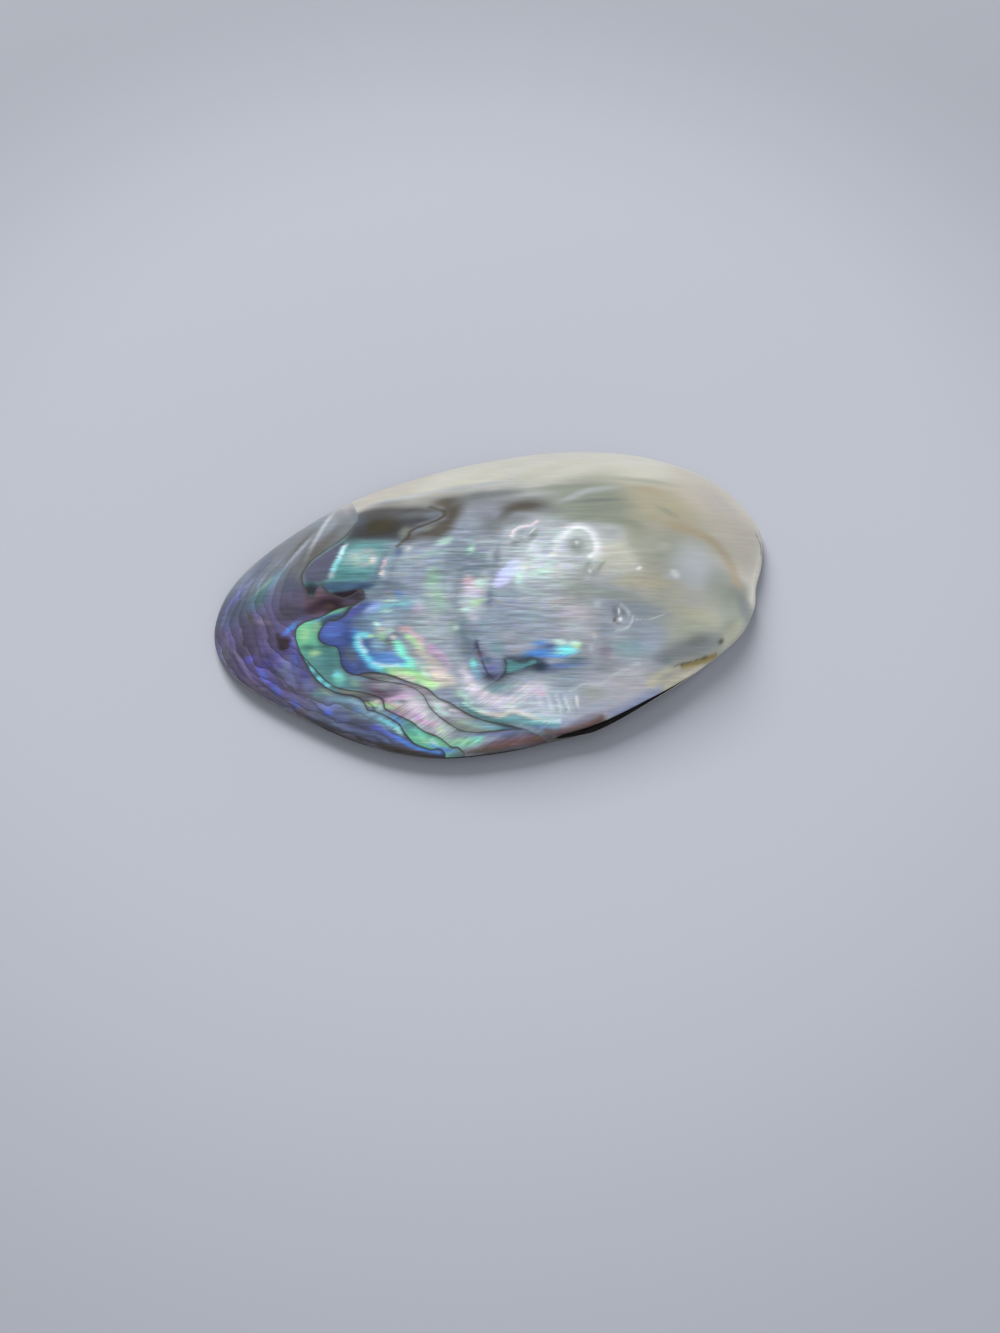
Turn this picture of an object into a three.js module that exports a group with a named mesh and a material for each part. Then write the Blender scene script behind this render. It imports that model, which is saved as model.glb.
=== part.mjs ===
// One polished valve of a pearl oyster, lying dome up on its margin, with the
// dried ligament still in its groove along the hinge.
// Millimetres, +Z up. The origin is on the surface that the valve lies on, below
// the middle of its outline. +X runs along the valve to the beak end, -Y is the
// hinge side and +Y is the belly side.
import * as THREE from 'three';
import { mergeVertices } from 'three/addons/utils/BufferGeometryUtils.js';

const { smoothstep, lerp, degToRad } = THREE.MathUtils;

// Size of the valve
const LENGTH = 150;
const WIDTH = 93;
const DOME_HEIGHT = 24.5;
const CEILING = 21.2;

// Outline seen from above, counter-clockwise from the beak end. It is centred and
// then stretched to LENGTH and WIDTH.
const OUTLINE = [
  [74.8, 6], [72.8, 15.5], [68.4, 24.3], [61, 32.4], [48, 40.2], [32, 44.8],
  [10, 46.6], [-15.5, 44.4], [-36, 39.2], [-55.5, 29.2], [-68.2, 18.6], [-74.2, 7],
  [-74.3, -3.5], [-68.8, -13.8], [-56, -26.2], [-41, -37.6], [-26, -44.4],
  [-10, -46.5], [6, -46], [18, -44.6], [37, -37.3], [52, -29.4], [61, -23.4],
  [66, -16.8], [68.4, -10.6], [72.4, -3],
];

// Dome: where it is highest, how full its slope is, and how much fuller it is
// towards the beak
const CREST = new THREE.Vector2(16, 1);
const SLOPE_POWER = 2.15;
const SLOPE_FULLNESS = 0.86;
const BEAK_FULLNESS = 0.22;
const BEAK_BEARING = degToRad(-28);

// Rim: thickness of its outer edge, its chamfers, and how far the hinge side
// stands off the surface between the points where it touches down
const EDGE = 1.6;
const EDGE_CHAMFER = 0.7;
const RIM_LIFT = 2;
const LIFT_BAND = [-58, -30, 28, 56];
const LIFT_SIDE = [18, 32];

// Flat lip under the rim. Along the hinge it widens to the hinge plate, which is
// hollowed on each side of the teeth: a long one and a short one below the beak.
const LIP = 3;
const HINGE_PLATE = 4.2;
const PLATE_START = [-14, 8];
const PLATE_SIDE = [2, 24];
const PLATE_HOLLOW = 1.2;
const TOOTH_TOP = 0.15;
const LONG_TOOTH = [-8, 4, 30, 38];
const SHORT_TOOTH = [43, 47, 54, 59];

// Ligament and the groove that it sits in
const LIGAMENT_START = 5.4;
const LIGAMENT_END = 45;
const LIGAMENT_HALF_WIDTH = 0.9;
const LIGAMENT_HALF_HEIGHT = 0.65;
const LIGAMENT_INSET = [0.55, 1.3];
const LIGAMENT_RISE = 2.55;
const GROOVE_DEPTH = 2.15;
const GROOVE_TOP = 1.5;
const GROOVE_FLOOR = 1.5;
const GROOVE_BAND = [0.5, 5, 47, 56];

// Swellings and small marks of the surface: where, half sizes along and across,
// turn in degrees, height
const SWELLINGS = [
  { at: [47, -13], size: [21, 13], turn: -25, height: 3.4 },
  { at: [-28, -2], size: [30, 17], turn: 0, height: 1.3 },
];
const BLISTERS = [
  { at: [6.5, 1.6], size: [3.6, 3.2], turn: 0, height: 0.7 },
  { at: [19.9, -3.3], size: [5, 4.2], turn: 0, height: 0.8 },
  { at: [22.4, -9.5], size: [5.6, 2.8], turn: 10, height: 0.6 },
  { at: [26, -22.9], size: [3.4, 3], turn: 0, height: -0.8 },
  { at: [-4.1, -29.3], size: [8, 4.5], turn: -15, height: 0.4 },
];
const MUSCLE_SCARS = [
  { at: [52, -2], size: [8, 9], turn: 0, height: 0.6 },
  { at: [-42, -2], size: [11, 9], turn: 0, height: 0.5 },
];

// Growth waves, counted outward from the beak
const WAVE_CENTRE = new THREE.Vector2(60, -12);
const WAVE_STRETCH = 1.6;
const WAVE_SPACING = 15;
const WAVE_HEIGHT = 0.2;
const WAVE_REACH = [35, 75];

// Facets: around the valve, from the crest to the rim, and from the lip to the ceiling
const AROUND = 84;
const OUTER_ROWS = 25;
const INNER_ROWS = 13;
const LIGAMENT_AROUND = 10;
const LIGAMENT_ROWS = 26;

// Closed curve of the rim's outer edge
function makeRim() {
  const raw = new THREE.CatmullRomCurve3(
    OUTLINE.map(([x, y]) => new THREE.Vector3(x, y, 0)), true, 'catmullrom');
  const box = new THREE.Box3().setFromPoints(raw.getPoints(1200));
  const size = box.getSize(new THREE.Vector3());
  const middle = box.getCenter(new THREE.Vector3());
  const fitted = OUTLINE.map(([x, y]) => new THREE.Vector3(
    (x - middle.x) * LENGTH / size.x, (y - middle.y) * WIDTH / size.y, 0));
  const curve = new THREE.CatmullRomCurve3(fitted, true, 'catmullrom');
  curve.arcLengthDivisions = 1200;
  return curve;
}
const RIM = makeRim();

// A point of the rim, moved inward along its normal
function insetPoint(t, inward) {
  const point = RIM.getPointAt(t);
  const along = RIM.getTangentAt(t);
  return new THREE.Vector2(point.x - along.y * inward, point.y + along.x * inward);
}

// 1 between the middle two of four values along the hinge side, 0 beyond the outer two
function hingeBand(x, y, [a, b, c, d]) {
  return y < 0 ? smoothstep(x, a, b) * (1 - smoothstep(x, c, d)) : 0;
}
function rimLift(x, y) {
  return RIM_LIFT * hingeBand(x, y, LIFT_BAND) * smoothstep(-y, ...LIFT_SIDE);
}
function plateMask(x, y) {
  return smoothstep(x, ...PLATE_START) * smoothstep(-y, ...PLATE_SIDE);
}

// A smooth round or oval rise, 1 at its middle
function rise(x, y, { at, size, turn }) {
  const angle = degToRad(turn);
  const dx = x - at[0];
  const dy = y - at[1];
  const along = dx * Math.cos(angle) + dy * Math.sin(angle);
  const across = dy * Math.cos(angle) - dx * Math.sin(angle);
  return Math.exp(-((along / size[0]) ** 2) - (across / size[1]) ** 2);
}
function relief(x, y, list) {
  return list.reduce((sum, item) => sum + item.height * rise(x, y, item), 0);
}
function growthWave(x, y) {
  const reach = Math.hypot(x - WAVE_CENTRE.x, (y - WAVE_CENTRE.y) * WAVE_STRETCH);
  return WAVE_HEIGHT * smoothstep(reach, ...WAVE_REACH) * Math.sin(2 * Math.PI * reach / WAVE_SPACING);
}

// Height over a dome of the given top, from its crest (rho 0) to its edge (rho 1)
function domeHeight(x, y, rho, top, edge) {
  const bearing = Math.atan2(y - CREST.y, x - CREST.x);
  const fullness = SLOPE_FULLNESS - BEAK_FULLNESS * smoothstep(Math.cos(bearing - BEAK_BEARING), 0.2, 1);
  const share = (1 - rho ** SLOPE_POWER) ** fullness;
  const fade = 1 - rho ** 5;
  return lerp(edge, top, share) + relief(x, y, SWELLINGS) * fade;
}

function outerPoint(t, rho) {
  const rim = insetPoint(t, 0);
  const groove = hingeBand(rim.x, rim.y, GROOVE_BAND);
  const edge = insetPoint(t, GROOVE_DEPTH * groove);
  const x = lerp(CREST.x, edge.x, rho);
  const y = lerp(CREST.y, edge.y, rho);
  const foot = rimLift(rim.x, rim.y) + EDGE + GROOVE_TOP * groove;
  const fine = (relief(x, y, BLISTERS) + growthWave(x, y)) * (1 - rho ** 8) * Math.min(1, rho * 8);
  return new THREE.Vector3(x, y, domeHeight(x, y, rho, DOME_HEIGHT, foot) + fine);
}

function innerPoint(t, rho) {
  const rim = insetPoint(t, 0);
  const plate = plateMask(rim.x, rim.y);
  const edge = insetPoint(t, LIP + HINGE_PLATE * plate);
  const x = lerp(CREST.x, edge.x, rho);
  const y = lerp(CREST.y, edge.y, rho);
  const foot = rimLift(rim.x, rim.y) + EDGE_CHAMFER + PLATE_HOLLOW * plate;
  const scars = relief(x, y, MUSCLE_SCARS) * (1 - rho ** 8);
  return new THREE.Vector3(x, y, domeHeight(x, y, rho, CEILING, foot) + scars);
}

// Rows of the lip between the dome's edge and the hollow: inward, height. Along the
// ligament they go down the groove's back wall and out over its floor.
function lipRows(t) {
  const { x, y } = insetPoint(t, 0);
  const lift = rimLift(x, y);
  const groove = hingeBand(x, y, GROOVE_BAND);
  const plate = plateMask(x, y);
  const width = LIP + HINGE_PLATE * plate;
  const hollow = PLATE_HOLLOW * plate;
  const tooth = Math.max(hingeBand(x, y, LONG_TOOTH), hingeBand(x, y, SHORT_TOOTH));
  const rows = [
    [lerp(0.05, GROOVE_DEPTH - 0.1, groove), lift + lerp(1.3, GROOVE_FLOOR, groove)],
    [0.1, lift + 1.1],
    [EDGE_CHAMFER, lift],
    [0.4 * width, lift + 0.6 * hollow],
    [0.55 * width, lift + lerp(hollow, Math.min(hollow, TOOTH_TOP), tooth)],
    [width - EDGE_CHAMFER, lift + hollow],
  ];
  return rows.map(([inward, z]) => {
    const plan = insetPoint(t, inward);
    return new THREE.Vector3(plan.x, plan.y, z);
  });
}

// A sphere's grid is laid over the valve: its top pole is the crest outside, its
// bottom pole the ceiling of the hollow
function makeValve() {
  const lipCount = lipRows(0).length;
  const rowCount = OUTER_ROWS + lipCount + 1 + INNER_ROWS;
  const geometry = new THREE.SphereGeometry(1, AROUND, rowCount);
  const { position, uv } = geometry.attributes;
  for (let i = 0; i < position.count; i += 1) {
    const t = ((uv.getX(i) % 1) + 1) % 1;
    const row = Math.round((1 - uv.getY(i)) * rowCount);
    const lipRow = row - OUTER_ROWS - 1;
    let point;
    if (row <= OUTER_ROWS) {
      point = outerPoint(t, row / OUTER_ROWS);
    } else if (lipRow < lipCount) {
      point = lipRows(t)[lipRow];
    } else {
      point = innerPoint(t, (rowCount - row) / INNER_ROWS);
    }
    position.setXYZ(i, point.x, point.y, point.z);
  }
  return closeGrid(geometry);
}

// Where the hinge side of the rim has the given x
function hingeParameter(x) {
  let low = 0.55;
  let high = 0.95;
  for (let step = 0; step < 40; step += 1) {
    const middle = (low + high) / 2;
    if (RIM.getPointAt(middle).x < x) low = middle;
    else high = middle;
  }
  return low;
}

// The ligament: a bent rod in the groove, blunt at its broken end and thin towards the beak
function makeLigament() {
  const start = hingeParameter(LIGAMENT_START);
  const end = hingeParameter(LIGAMENT_END);
  const geometry = new THREE.SphereGeometry(1, LIGAMENT_AROUND, LIGAMENT_ROWS);
  const { position, uv } = geometry.attributes;
  for (let i = 0; i < position.count; i += 1) {
    const along = uv.getY(i);
    const angle = 2 * Math.PI * uv.getX(i);
    const t = lerp(start, end, along);
    const rim = insetPoint(t, 0);
    const blunt = Math.min(1, along * 12) ** 0.5;
    const girth = along <= 0 || along >= 1 ? 0 : blunt * (1 - along ** 3) ** 0.6;
    const inset = lerp(...LIGAMENT_INSET, along);
    const plan = insetPoint(t, inset - LIGAMENT_HALF_WIDTH * girth * Math.cos(angle));
    const z = rimLift(rim.x, rim.y) + LIGAMENT_RISE - LIGAMENT_HALF_HEIGHT * girth * Math.sin(angle);
    position.setXYZ(i, plan.x, plan.y, z);
  }
  return closeGrid(geometry);
}

// Joins the grid's seam and poles, so that the mesh is one closed body
function closeGrid(geometry) {
  geometry.deleteAttribute('normal');
  geometry.deleteAttribute('uv');
  const closed = mergeVertices(geometry, 1e-4);
  closed.computeVertexNormals();
  return closed;
}

function addPiece(group, name, geometry, color, roughness) {
  const material = new THREE.MeshStandardMaterial({ color, roughness, metalness: 0 });
  const mesh = new THREE.Mesh(geometry, material);
  mesh.name = name;
  group.add(mesh);
}

const group = new THREE.Group();
addPiece(group, 'valve', makeValve(), 0xa7a79c, 0.3);
addPiece(group, 'ligament', makeLigament(), 0x1c1814, 0.45);

export default group;
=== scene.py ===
# %% [markdown]
# # A polished pearl oyster valve
# One half of a large shell lies dome up on a pale table. The outside has been ground
# and polished down to the nacre, so its layers show as contour lines and its colour
# comes from light playing in them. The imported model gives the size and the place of
# its two pieces, the valve and the dried ligament. This lesson makes the fine surface.

import math

import bmesh
import bpy
import numpy as np
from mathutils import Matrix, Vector


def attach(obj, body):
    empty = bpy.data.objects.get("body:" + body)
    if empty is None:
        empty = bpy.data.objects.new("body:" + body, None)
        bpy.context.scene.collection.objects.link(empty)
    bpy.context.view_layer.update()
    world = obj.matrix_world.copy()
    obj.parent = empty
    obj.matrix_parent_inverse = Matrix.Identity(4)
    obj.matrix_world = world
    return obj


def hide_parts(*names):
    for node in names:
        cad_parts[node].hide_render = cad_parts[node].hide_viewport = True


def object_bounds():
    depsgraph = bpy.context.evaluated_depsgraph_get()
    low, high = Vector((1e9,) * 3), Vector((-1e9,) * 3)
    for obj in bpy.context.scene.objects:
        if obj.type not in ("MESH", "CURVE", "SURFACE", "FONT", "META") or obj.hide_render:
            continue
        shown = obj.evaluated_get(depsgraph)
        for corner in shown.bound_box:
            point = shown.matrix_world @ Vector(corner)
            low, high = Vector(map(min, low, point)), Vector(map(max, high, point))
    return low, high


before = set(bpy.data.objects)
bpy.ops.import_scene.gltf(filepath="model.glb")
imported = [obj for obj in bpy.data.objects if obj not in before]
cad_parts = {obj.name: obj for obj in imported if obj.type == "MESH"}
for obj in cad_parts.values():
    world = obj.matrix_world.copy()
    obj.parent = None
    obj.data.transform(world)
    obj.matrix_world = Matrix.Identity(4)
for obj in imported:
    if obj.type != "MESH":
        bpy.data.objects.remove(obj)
cad_low, cad_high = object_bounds()
print("packed size in mm:", [round(1000 * s, 1) for s in cad_high - cad_low])

# %% [markdown]
# ## The camera
# The photograph was taken from above and a little to the left, close by, with the
# valve small in the frame. The camera comes first because marks are later laid on
# the dome along its lines of sight. The pixel frame is the photograph's, 1000 by 1333.

# %% Camera
MM = 0.001
FRAME_WIDTH = 1000
FRAME_HEIGHT = 1333
SENSOR = 36.0
LENS = 37.8
NEAREST_VIEW = 0.01
EYE = Vector((-42.8, -208.4, 308.0)) * MM
SIGHT = Vector((0.1084, 0.5187, -0.848)).normalized()

camera_data = bpy.data.cameras.new("camera")
camera_data.sensor_fit = "VERTICAL"
camera_data.sensor_height = SENSOR
camera_data.lens = LENS
camera_data.clip_start = NEAREST_VIEW
camera = bpy.data.objects.new("camera", camera_data)
camera.location = EYE
camera.rotation_euler = SIGHT.to_track_quat("-Z", "Y").to_euler()
bpy.context.scene.collection.objects.link(camera)
bpy.context.scene.camera = camera
print("camera is", round(1000 * EYE.length), "mm from the valve's middle")

# %% [markdown]
# ## Floor and light
# The floor is a pale sheet, painted a little darker away from the shell where the light
# falls off. The light is soft and comes from a large area above and behind on the left, like
# a window, with a weaker fill, so that the shadow under the near edge stays soft. The lamps
# light the shell but aren't mirrored in it, because the polish in the photograph mirrors no
# lamp.

# %% Floor
FLOOR_SIZE = 3.0
FLOOR_MIDDLE = (0, 0.035, 0)
FLOOR_FADE = (0.12, 0.26)
# the floor near the shell and far off: painted darker far off, where the light falls off
FLOOR_NEAR = (0.384, 0.401, 0.454)
FLOOR_FAR = (0.3, 0.313, 0.354)


def make_floor():
    """A pale sheet, painted a little darker away from the shell where the light falls off."""
    material = bpy.data.materials.new("pale_floor")
    material.use_nodes = True
    shader = material.node_tree.nodes["Principled BSDF"]
    tree = material.node_tree
    place = tree.nodes.new("ShaderNodeTexCoord")
    away = tree.nodes.new("ShaderNodeVectorMath")
    away.operation = "DISTANCE"
    away.inputs[1].default_value = FLOOR_MIDDLE
    tone = tree.nodes.new("ShaderNodeMapRange")
    tone.data_type = "FLOAT_VECTOR"
    tone.interpolation_type = "SMOOTHSTEP"
    limits = [(reach,) * 3 for reach in FLOOR_FADE] + [FLOOR_NEAR, FLOOR_FAR]
    for socket, value in zip(tone.inputs[7:11], limits):
        socket.default_value = value
    tree.links.new(place.outputs["Object"], away.inputs[0])
    tree.links.new(away.outputs["Value"], tone.inputs["Vector"])
    tree.links.new(tone.outputs["Vector"], shader.inputs["Base Color"])
    shader.inputs["Roughness"].default_value = 0.75
    shader.inputs["Specular IOR Level"].default_value = 0.2
    bm = bmesh.new()
    bmesh.ops.create_grid(bm, x_segments=1, y_segments=1, size=FLOOR_SIZE)
    mesh = bpy.data.meshes.new("floor")
    bm.to_mesh(mesh)
    bm.free()
    mesh.materials.append(material)
    floor = bpy.data.objects.new("floor", mesh)
    bpy.context.scene.collection.objects.link(floor)
    print("floor:", round(2 * FLOOR_SIZE, 1), "m wide")


make_floor()

# %% Lights
WINDOW = ((-0.35, 2.5, 1.95), 150)
WINDOW_SIZE = (1.7, 1.3)
WINDOW_TINT = (1.0, 0.985, 0.96)
FILL = ((0.25, -1.0, 0.6), 4)
FILL_SIZE = (0.9, 0.9)
FILL_TINT = (0.97, 0.98, 1.0)
ROOM_LIGHT = 0.4
ROOM_TINT = (0.97, 1.0, 1.05, 1)


def make_area_light(name, place, power, size, tint):
    """A soft light aimed at the shell, which lights it but isn't mirrored in it."""
    data = bpy.data.lights.new(name, "AREA")
    data.shape = "RECTANGLE"
    data.size, data.size_y = size
    data.energy = power
    data.color = tint
    lamp = bpy.data.objects.new(name, data)
    lamp.location = place
    lamp.rotation_euler = (-Vector(place)).to_track_quat("-Z", "Y").to_euler()
    lamp.visible_glossy = False
    bpy.context.scene.collection.objects.link(lamp)


make_area_light("window", *WINDOW, WINDOW_SIZE, WINDOW_TINT)
make_area_light("fill", *FILL, FILL_SIZE, FILL_TINT)
world = bpy.data.worlds.new("room")
world.use_nodes = True
background = world.node_tree.nodes["Background"]
background.inputs["Color"].default_value = ROOM_TINT
background.inputs["Strength"].default_value = ROOM_LIGHT
bpy.context.scene.world = world
bpy.context.scene.view_settings.view_transform = "Standard"
print("lamps:", len(bpy.data.lights))

# %% [markdown]
# ## The outline
# The rim is a smooth closed curve through a few points, in millimetres, the same as in
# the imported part. It is measured once all round, so that any bearing from the crest
# gives the rim, its outward direction, and the heights of its parts.

# %% Outline
OUTLINE = [
    (74.8, 6), (72.8, 15.5), (68.4, 24.3), (61, 32.4), (48, 40.2), (32, 44.8),
    (10, 46.6), (-15.5, 44.4), (-36, 39.2), (-55.5, 29.2), (-68.2, 18.6), (-74.2, 7),
    (-74.3, -3.5), (-68.8, -13.8), (-56, -26.2), (-41, -37.6), (-26, -44.4),
    (-10, -46.5), (6, -46), (18, -44.6), (37, -37.3), (52, -29.4), (61, -23.4),
    (66, -16.8), (68.4, -10.6), (72.4, -3),
]
OUTLINE_POINTS = 2600
CREST = np.array((16.0, 1.0))


def smoothstep(value, low, high):
    share = np.clip((value - low) / (high - low), 0, 1)
    return share * share * (3 - 2 * share)


def catmull_rom(points, count, closed):
    """A smooth curve through the points, as count points on it."""
    points = np.asarray(points, float)
    spans = len(points) if closed else len(points) - 1
    place = np.linspace(0, spans, count, endpoint=not closed)
    span = np.minimum(place.astype(int), spans - 1)
    f = (place - span)[:, None]

    def corner(step):
        index = span + step
        return points[index % len(points) if closed else np.clip(index, 0, spans)]

    a, b, c, d = corner(-1), corner(0), corner(1), corner(2)
    curve = 2 * b + (c - a) * f + (2 * a - 5 * b + 4 * c - d) * f ** 2
    return 0.5 * (curve + (3 * b - a - 3 * c + d) * f ** 3)


def fitted_outline():
    curve = catmull_rom(OUTLINE, OUTLINE_POINTS, closed=True)
    low, high = curve.min(0), curve.max(0)
    size = np.array([(cad_high[i] - cad_low[i]) / MM for i in (0, 1)])
    return (curve - (low + high) / 2) * size / (high - low)


rim = fitted_outline()
rim_step = np.roll(rim, -1, 0) - np.roll(rim, 1, 0)
rim_out = np.stack([rim_step[:, 1], -rim_step[:, 0]], 1) / np.linalg.norm(rim_step, axis=1)[:, None]
print("rim length in mm:", round(float(np.linalg.norm(np.diff(rim, axis=0), axis=1).sum())))

# %% [markdown]
# ## Rim, lip and groove
# These masks along the hinge side say where the rim stands off the table, where the
# ligament's groove is, and where the lip below widens to the hinge plate.

# %% Hinge bands
EDGE = 1.6
RIM_LIFT = 2.0
LIFT_BAND = (-82, -68, 28, 56)
LIFT_SIDE = (-2, 12)
GROOVE_DEPTH = 1.1
GROOVE_TOP = 0.6
GROOVE_FLOOR = 1.0
GROOVE_BAND = (3.2, 5.0, 12, 46)
GROOVE_REACH = (0.93, 1.0)
LIP = 3.0
HINGE_PLATE = 4.2
PLATE_START = (-14, 8)
PLATE_SIDE = (2, 24)
PLATE_HOLLOW = 1.2


def hinge_band(plan, band):
    along = smoothstep(plan[:, 0], band[0], band[1]) * (1 - smoothstep(plan[:, 0], band[2], band[3]))
    return along * (plan[:, 1] < 0)


rim_lift = RIM_LIFT * hinge_band(rim, LIFT_BAND) * smoothstep(-rim[:, 1], *LIFT_SIDE)
groove = hinge_band(rim, GROOVE_BAND)
plate = smoothstep(rim[:, 0], *PLATE_START) * smoothstep(-rim[:, 1], *PLATE_SIDE)


def bearing_of(plan):
    return np.arctan2(plan[:, 1] - CREST[1], plan[:, 0] - CREST[0])


def round_table(points, values):
    """Values along a closed line about the crest, ready to be read at any bearing."""
    bearing = bearing_of(points)
    order = np.argsort(bearing)
    turn = np.concatenate([bearing[order] + k * 2 * math.pi for k in (-1, 0, 1)])
    values = np.concatenate([np.asarray(values)[order]] * 3)
    return lambda at: np.interp(at, turn, values)


rim_reach = round_table(rim, np.linalg.norm(rim - CREST, axis=1))
rim_x, rim_y = round_table(rim, rim[:, 0]), round_table(rim, rim[:, 1])
out_x, out_y = round_table(rim, rim_out[:, 0]), round_table(rim, rim_out[:, 1])
lift_at, groove_at, plate_at = (round_table(rim, v) for v in (rim_lift, groove, plate))
print("the rim stands off the table by up to", round(float(rim_lift.max()), 2), "mm")

# %% [markdown]
# ## The dome
# The height over any point of the plan comes from one formula: a full, lopsided dome
# that is steepest below the beak, with a swelling at the beak, the blisters and the
# pit that pearls and grit left near the crest, and slow growth waves on the left half.

# %% Dome sizes
DOME_HEIGHT = 24.5
CEILING = 21.2
SLOPE_POWER = 2.15
SLOPE_FULLNESS = 0.86
BEAK_FULLNESS = 0.22
BEAK_BEARING = math.radians(-28)
BEAK_SPREAD = (0.2, 1)
SWELLING_FADE = 5
FINE_FADE = 8
SWELLINGS = [((47, -13), (21, 13), -25, 3.4), ((-28, -2), (30, 17), 0, 1.3)]
BLISTERS = [
    ((6.5, 1.6), (3.6, 3.2), 0, 0.7), ((19.9, -3.3), (5, 4.2), 0, 0.8),
    ((22.4, -9.5), (5.6, 2.8), 10, 0.6), ((26, -22.9), (3.4, 3), 0, -0.8),
    ((-4.1, -29.3), (8, 4.5), -15, 0.4),
]
MUSCLE_SCARS = [((52, -2), (8, 9), 0, 0.6), ((-42, -2), (11, 9), 0, 0.5)]
WAVE_CENTRE = np.array((60.0, -12.0))
WAVE_STRETCH = 1.6
WAVE_SPACING = 15.0
WAVE_HEIGHT = 0.2
WAVE_REACH = (35, 75)
print("blisters and pits near the crest:", len(BLISTERS))


# %% Dome height
def rises(plan, items):
    """Smooth round or oval rises: (where, half sizes, turn in degrees, height) for each."""
    total = np.zeros(len(plan))
    for at, size, turn, height in items:
        a = math.radians(turn)
        dx, dy = plan[:, 0] - at[0], plan[:, 1] - at[1]
        along, across = dx * math.cos(a) + dy * math.sin(a), dy * math.cos(a) - dx * math.sin(a)
        total += height * np.exp(-(along / size[0]) ** 2 - (across / size[1]) ** 2)
    return total


def growth_wave(plan):
    reach = np.hypot(plan[:, 0] - WAVE_CENTRE[0], (plan[:, 1] - WAVE_CENTRE[1]) * WAVE_STRETCH)
    return WAVE_HEIGHT * smoothstep(reach, *WAVE_REACH) * np.sin(2 * math.pi * reach / WAVE_SPACING)


def dome(plan, rho, top, foot):
    from_beak = np.cos(bearing_of(plan) - BEAK_BEARING)
    fullness = SLOPE_FULLNESS - BEAK_FULLNESS * smoothstep(from_beak, *BEAK_SPREAD)
    share = (1 - np.clip(rho, 0, 1) ** SLOPE_POWER) ** fullness
    return foot + (top - foot) * share + rises(plan, SWELLINGS) * (1 - np.clip(rho, 0, 1) ** SWELLING_FADE)


def outer_height(plan):
    bearing = bearing_of(plan)
    rho = np.linalg.norm(plan - CREST, axis=1) / rim_reach(bearing)
    fine = (rises(plan, BLISTERS) + growth_wave(plan)) * (1 - np.clip(rho, 0, 1) ** FINE_FADE)
    foot = lift_at(bearing) + EDGE + GROOVE_TOP * groove_at(bearing) * smoothstep(rho, *GROOVE_REACH)
    return dome(plan, rho, DOME_HEIGHT, foot) + fine


def draw_back(plan):
    """Next to the groove the skin is drawn in from the rim, to leave room for the ligament."""
    bearing = bearing_of(plan)
    rho = np.linalg.norm(plan - CREST, axis=1) / rim_reach(bearing)
    inward = GROOVE_DEPTH * groove_at(bearing) * smoothstep(rho, *GROOVE_REACH)
    return plan - inward[:, None] * np.stack([out_x(bearing), out_y(bearing)], 1)


print("the crest is", round(float(outer_height(CREST[None])[0]), 2), "mm high")

# %% Light on the dome
SLOPE_STEP = 1.5
SIDE_LIGHT = 0.28


def light_on(plan):
    """How brightly the room lights each slope of the plain dome, if a full white were 1."""
    bearing = bearing_of(plan)

    def plain(at):
        rho = np.linalg.norm(at - CREST, axis=1) / rim_reach(bearing)
        return dome(at, rho, DOME_HEIGHT, lift_at(bearing) + EDGE)

    sides = ((SLOPE_STEP, 0), (0, SLOPE_STEP))
    slopes = [(plain(plan + side) - plain(plan - side)) / (2 * SLOPE_STEP) for side in sides]
    normal = np.stack([-slopes[0], -slopes[1], np.ones(len(plan))], 1)
    normal /= np.linalg.norm(normal, axis=1)[:, None]
    total = ROOM_LIGHT * (1 - SIDE_LIGHT + SIDE_LIGHT * normal[:, 2])
    for place, power in (WINDOW, FILL):
        away = np.linalg.norm(place)
        total += power / (math.pi * away) ** 2 * np.maximum(normal @ (np.array(place) / away), 0.0)
    return total


print("light on the crest:", round(float(light_on(CREST[None])[0]), 2))

# %% [markdown]
# ## Laying marks on the dome
# A mark seen in the photograph is written down by its pixels. Each line of sight is
# followed down until it meets the dome, which gives the mark's place on the plan. So a
# mark sits on the shell itself, and stays there when the shell is seen from elsewhere.

# %% Lines of sight
FOCAL = LENS / SENSOR * FRAME_HEIGHT
CREST_PIXEL = np.array((500.0, 600.0))
view_turn = SIGHT.to_track_quat("-Z", "Y")
view_axes = ((1, 0, 0), (0, 1, 0), (0, 0, -1))
view_right, view_up, view_in = (np.array(view_turn @ Vector(axis)) for axis in view_axes)
eye = np.array(EYE) / MM
LEVELS = np.arange(30, 0, -0.25)


def on_dome(pixels):
    """The plan points, in mm, where the lines of sight through these pixels meet the dome."""
    pixels = np.atleast_2d(np.asarray(pixels, float))
    sideways = (pixels[:, :1] - FRAME_WIDTH / 2) / FOCAL
    upward = (FRAME_HEIGHT / 2 - pixels[:, 1:]) / FOCAL
    ray = view_in + sideways * view_right + upward * view_up
    steps = (LEVELS - eye[2]) / ray[:, 2:]
    plans = eye[:2] + steps[:, :, None] * ray[:, None, :2]
    over = LEVELS - outer_height(plans.reshape(-1, 2)).reshape(steps.shape)
    row = np.arange(len(pixels))
    hit = np.maximum(np.argmax(over <= 0, 1), 1)
    share = (over[row, hit - 1] / (over[row, hit - 1] - over[row, hit]))[:, None]
    return plans[row, hit - 1] * (1 - share) + plans[row, hit] * share


print("the crest's pixel meets the dome at", on_dome(CREST_PIXEL)[0].round(1), "mm")

# %% [markdown]
# ## The edges of the layers
# Polishing has cut through the thin layers of the shell, and each layer ends in a dark
# wavy edge like a contour line on a map. Every edge is traced once, as a closed line that
# runs outside the shell where it isn't seen. Each point of the skin then keeps its
# distance to the edge, positive inside. A material can cut such a smooth distance field
# sharply at zero, so the lines stay crisp although the mesh is coarser than they are.

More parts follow.
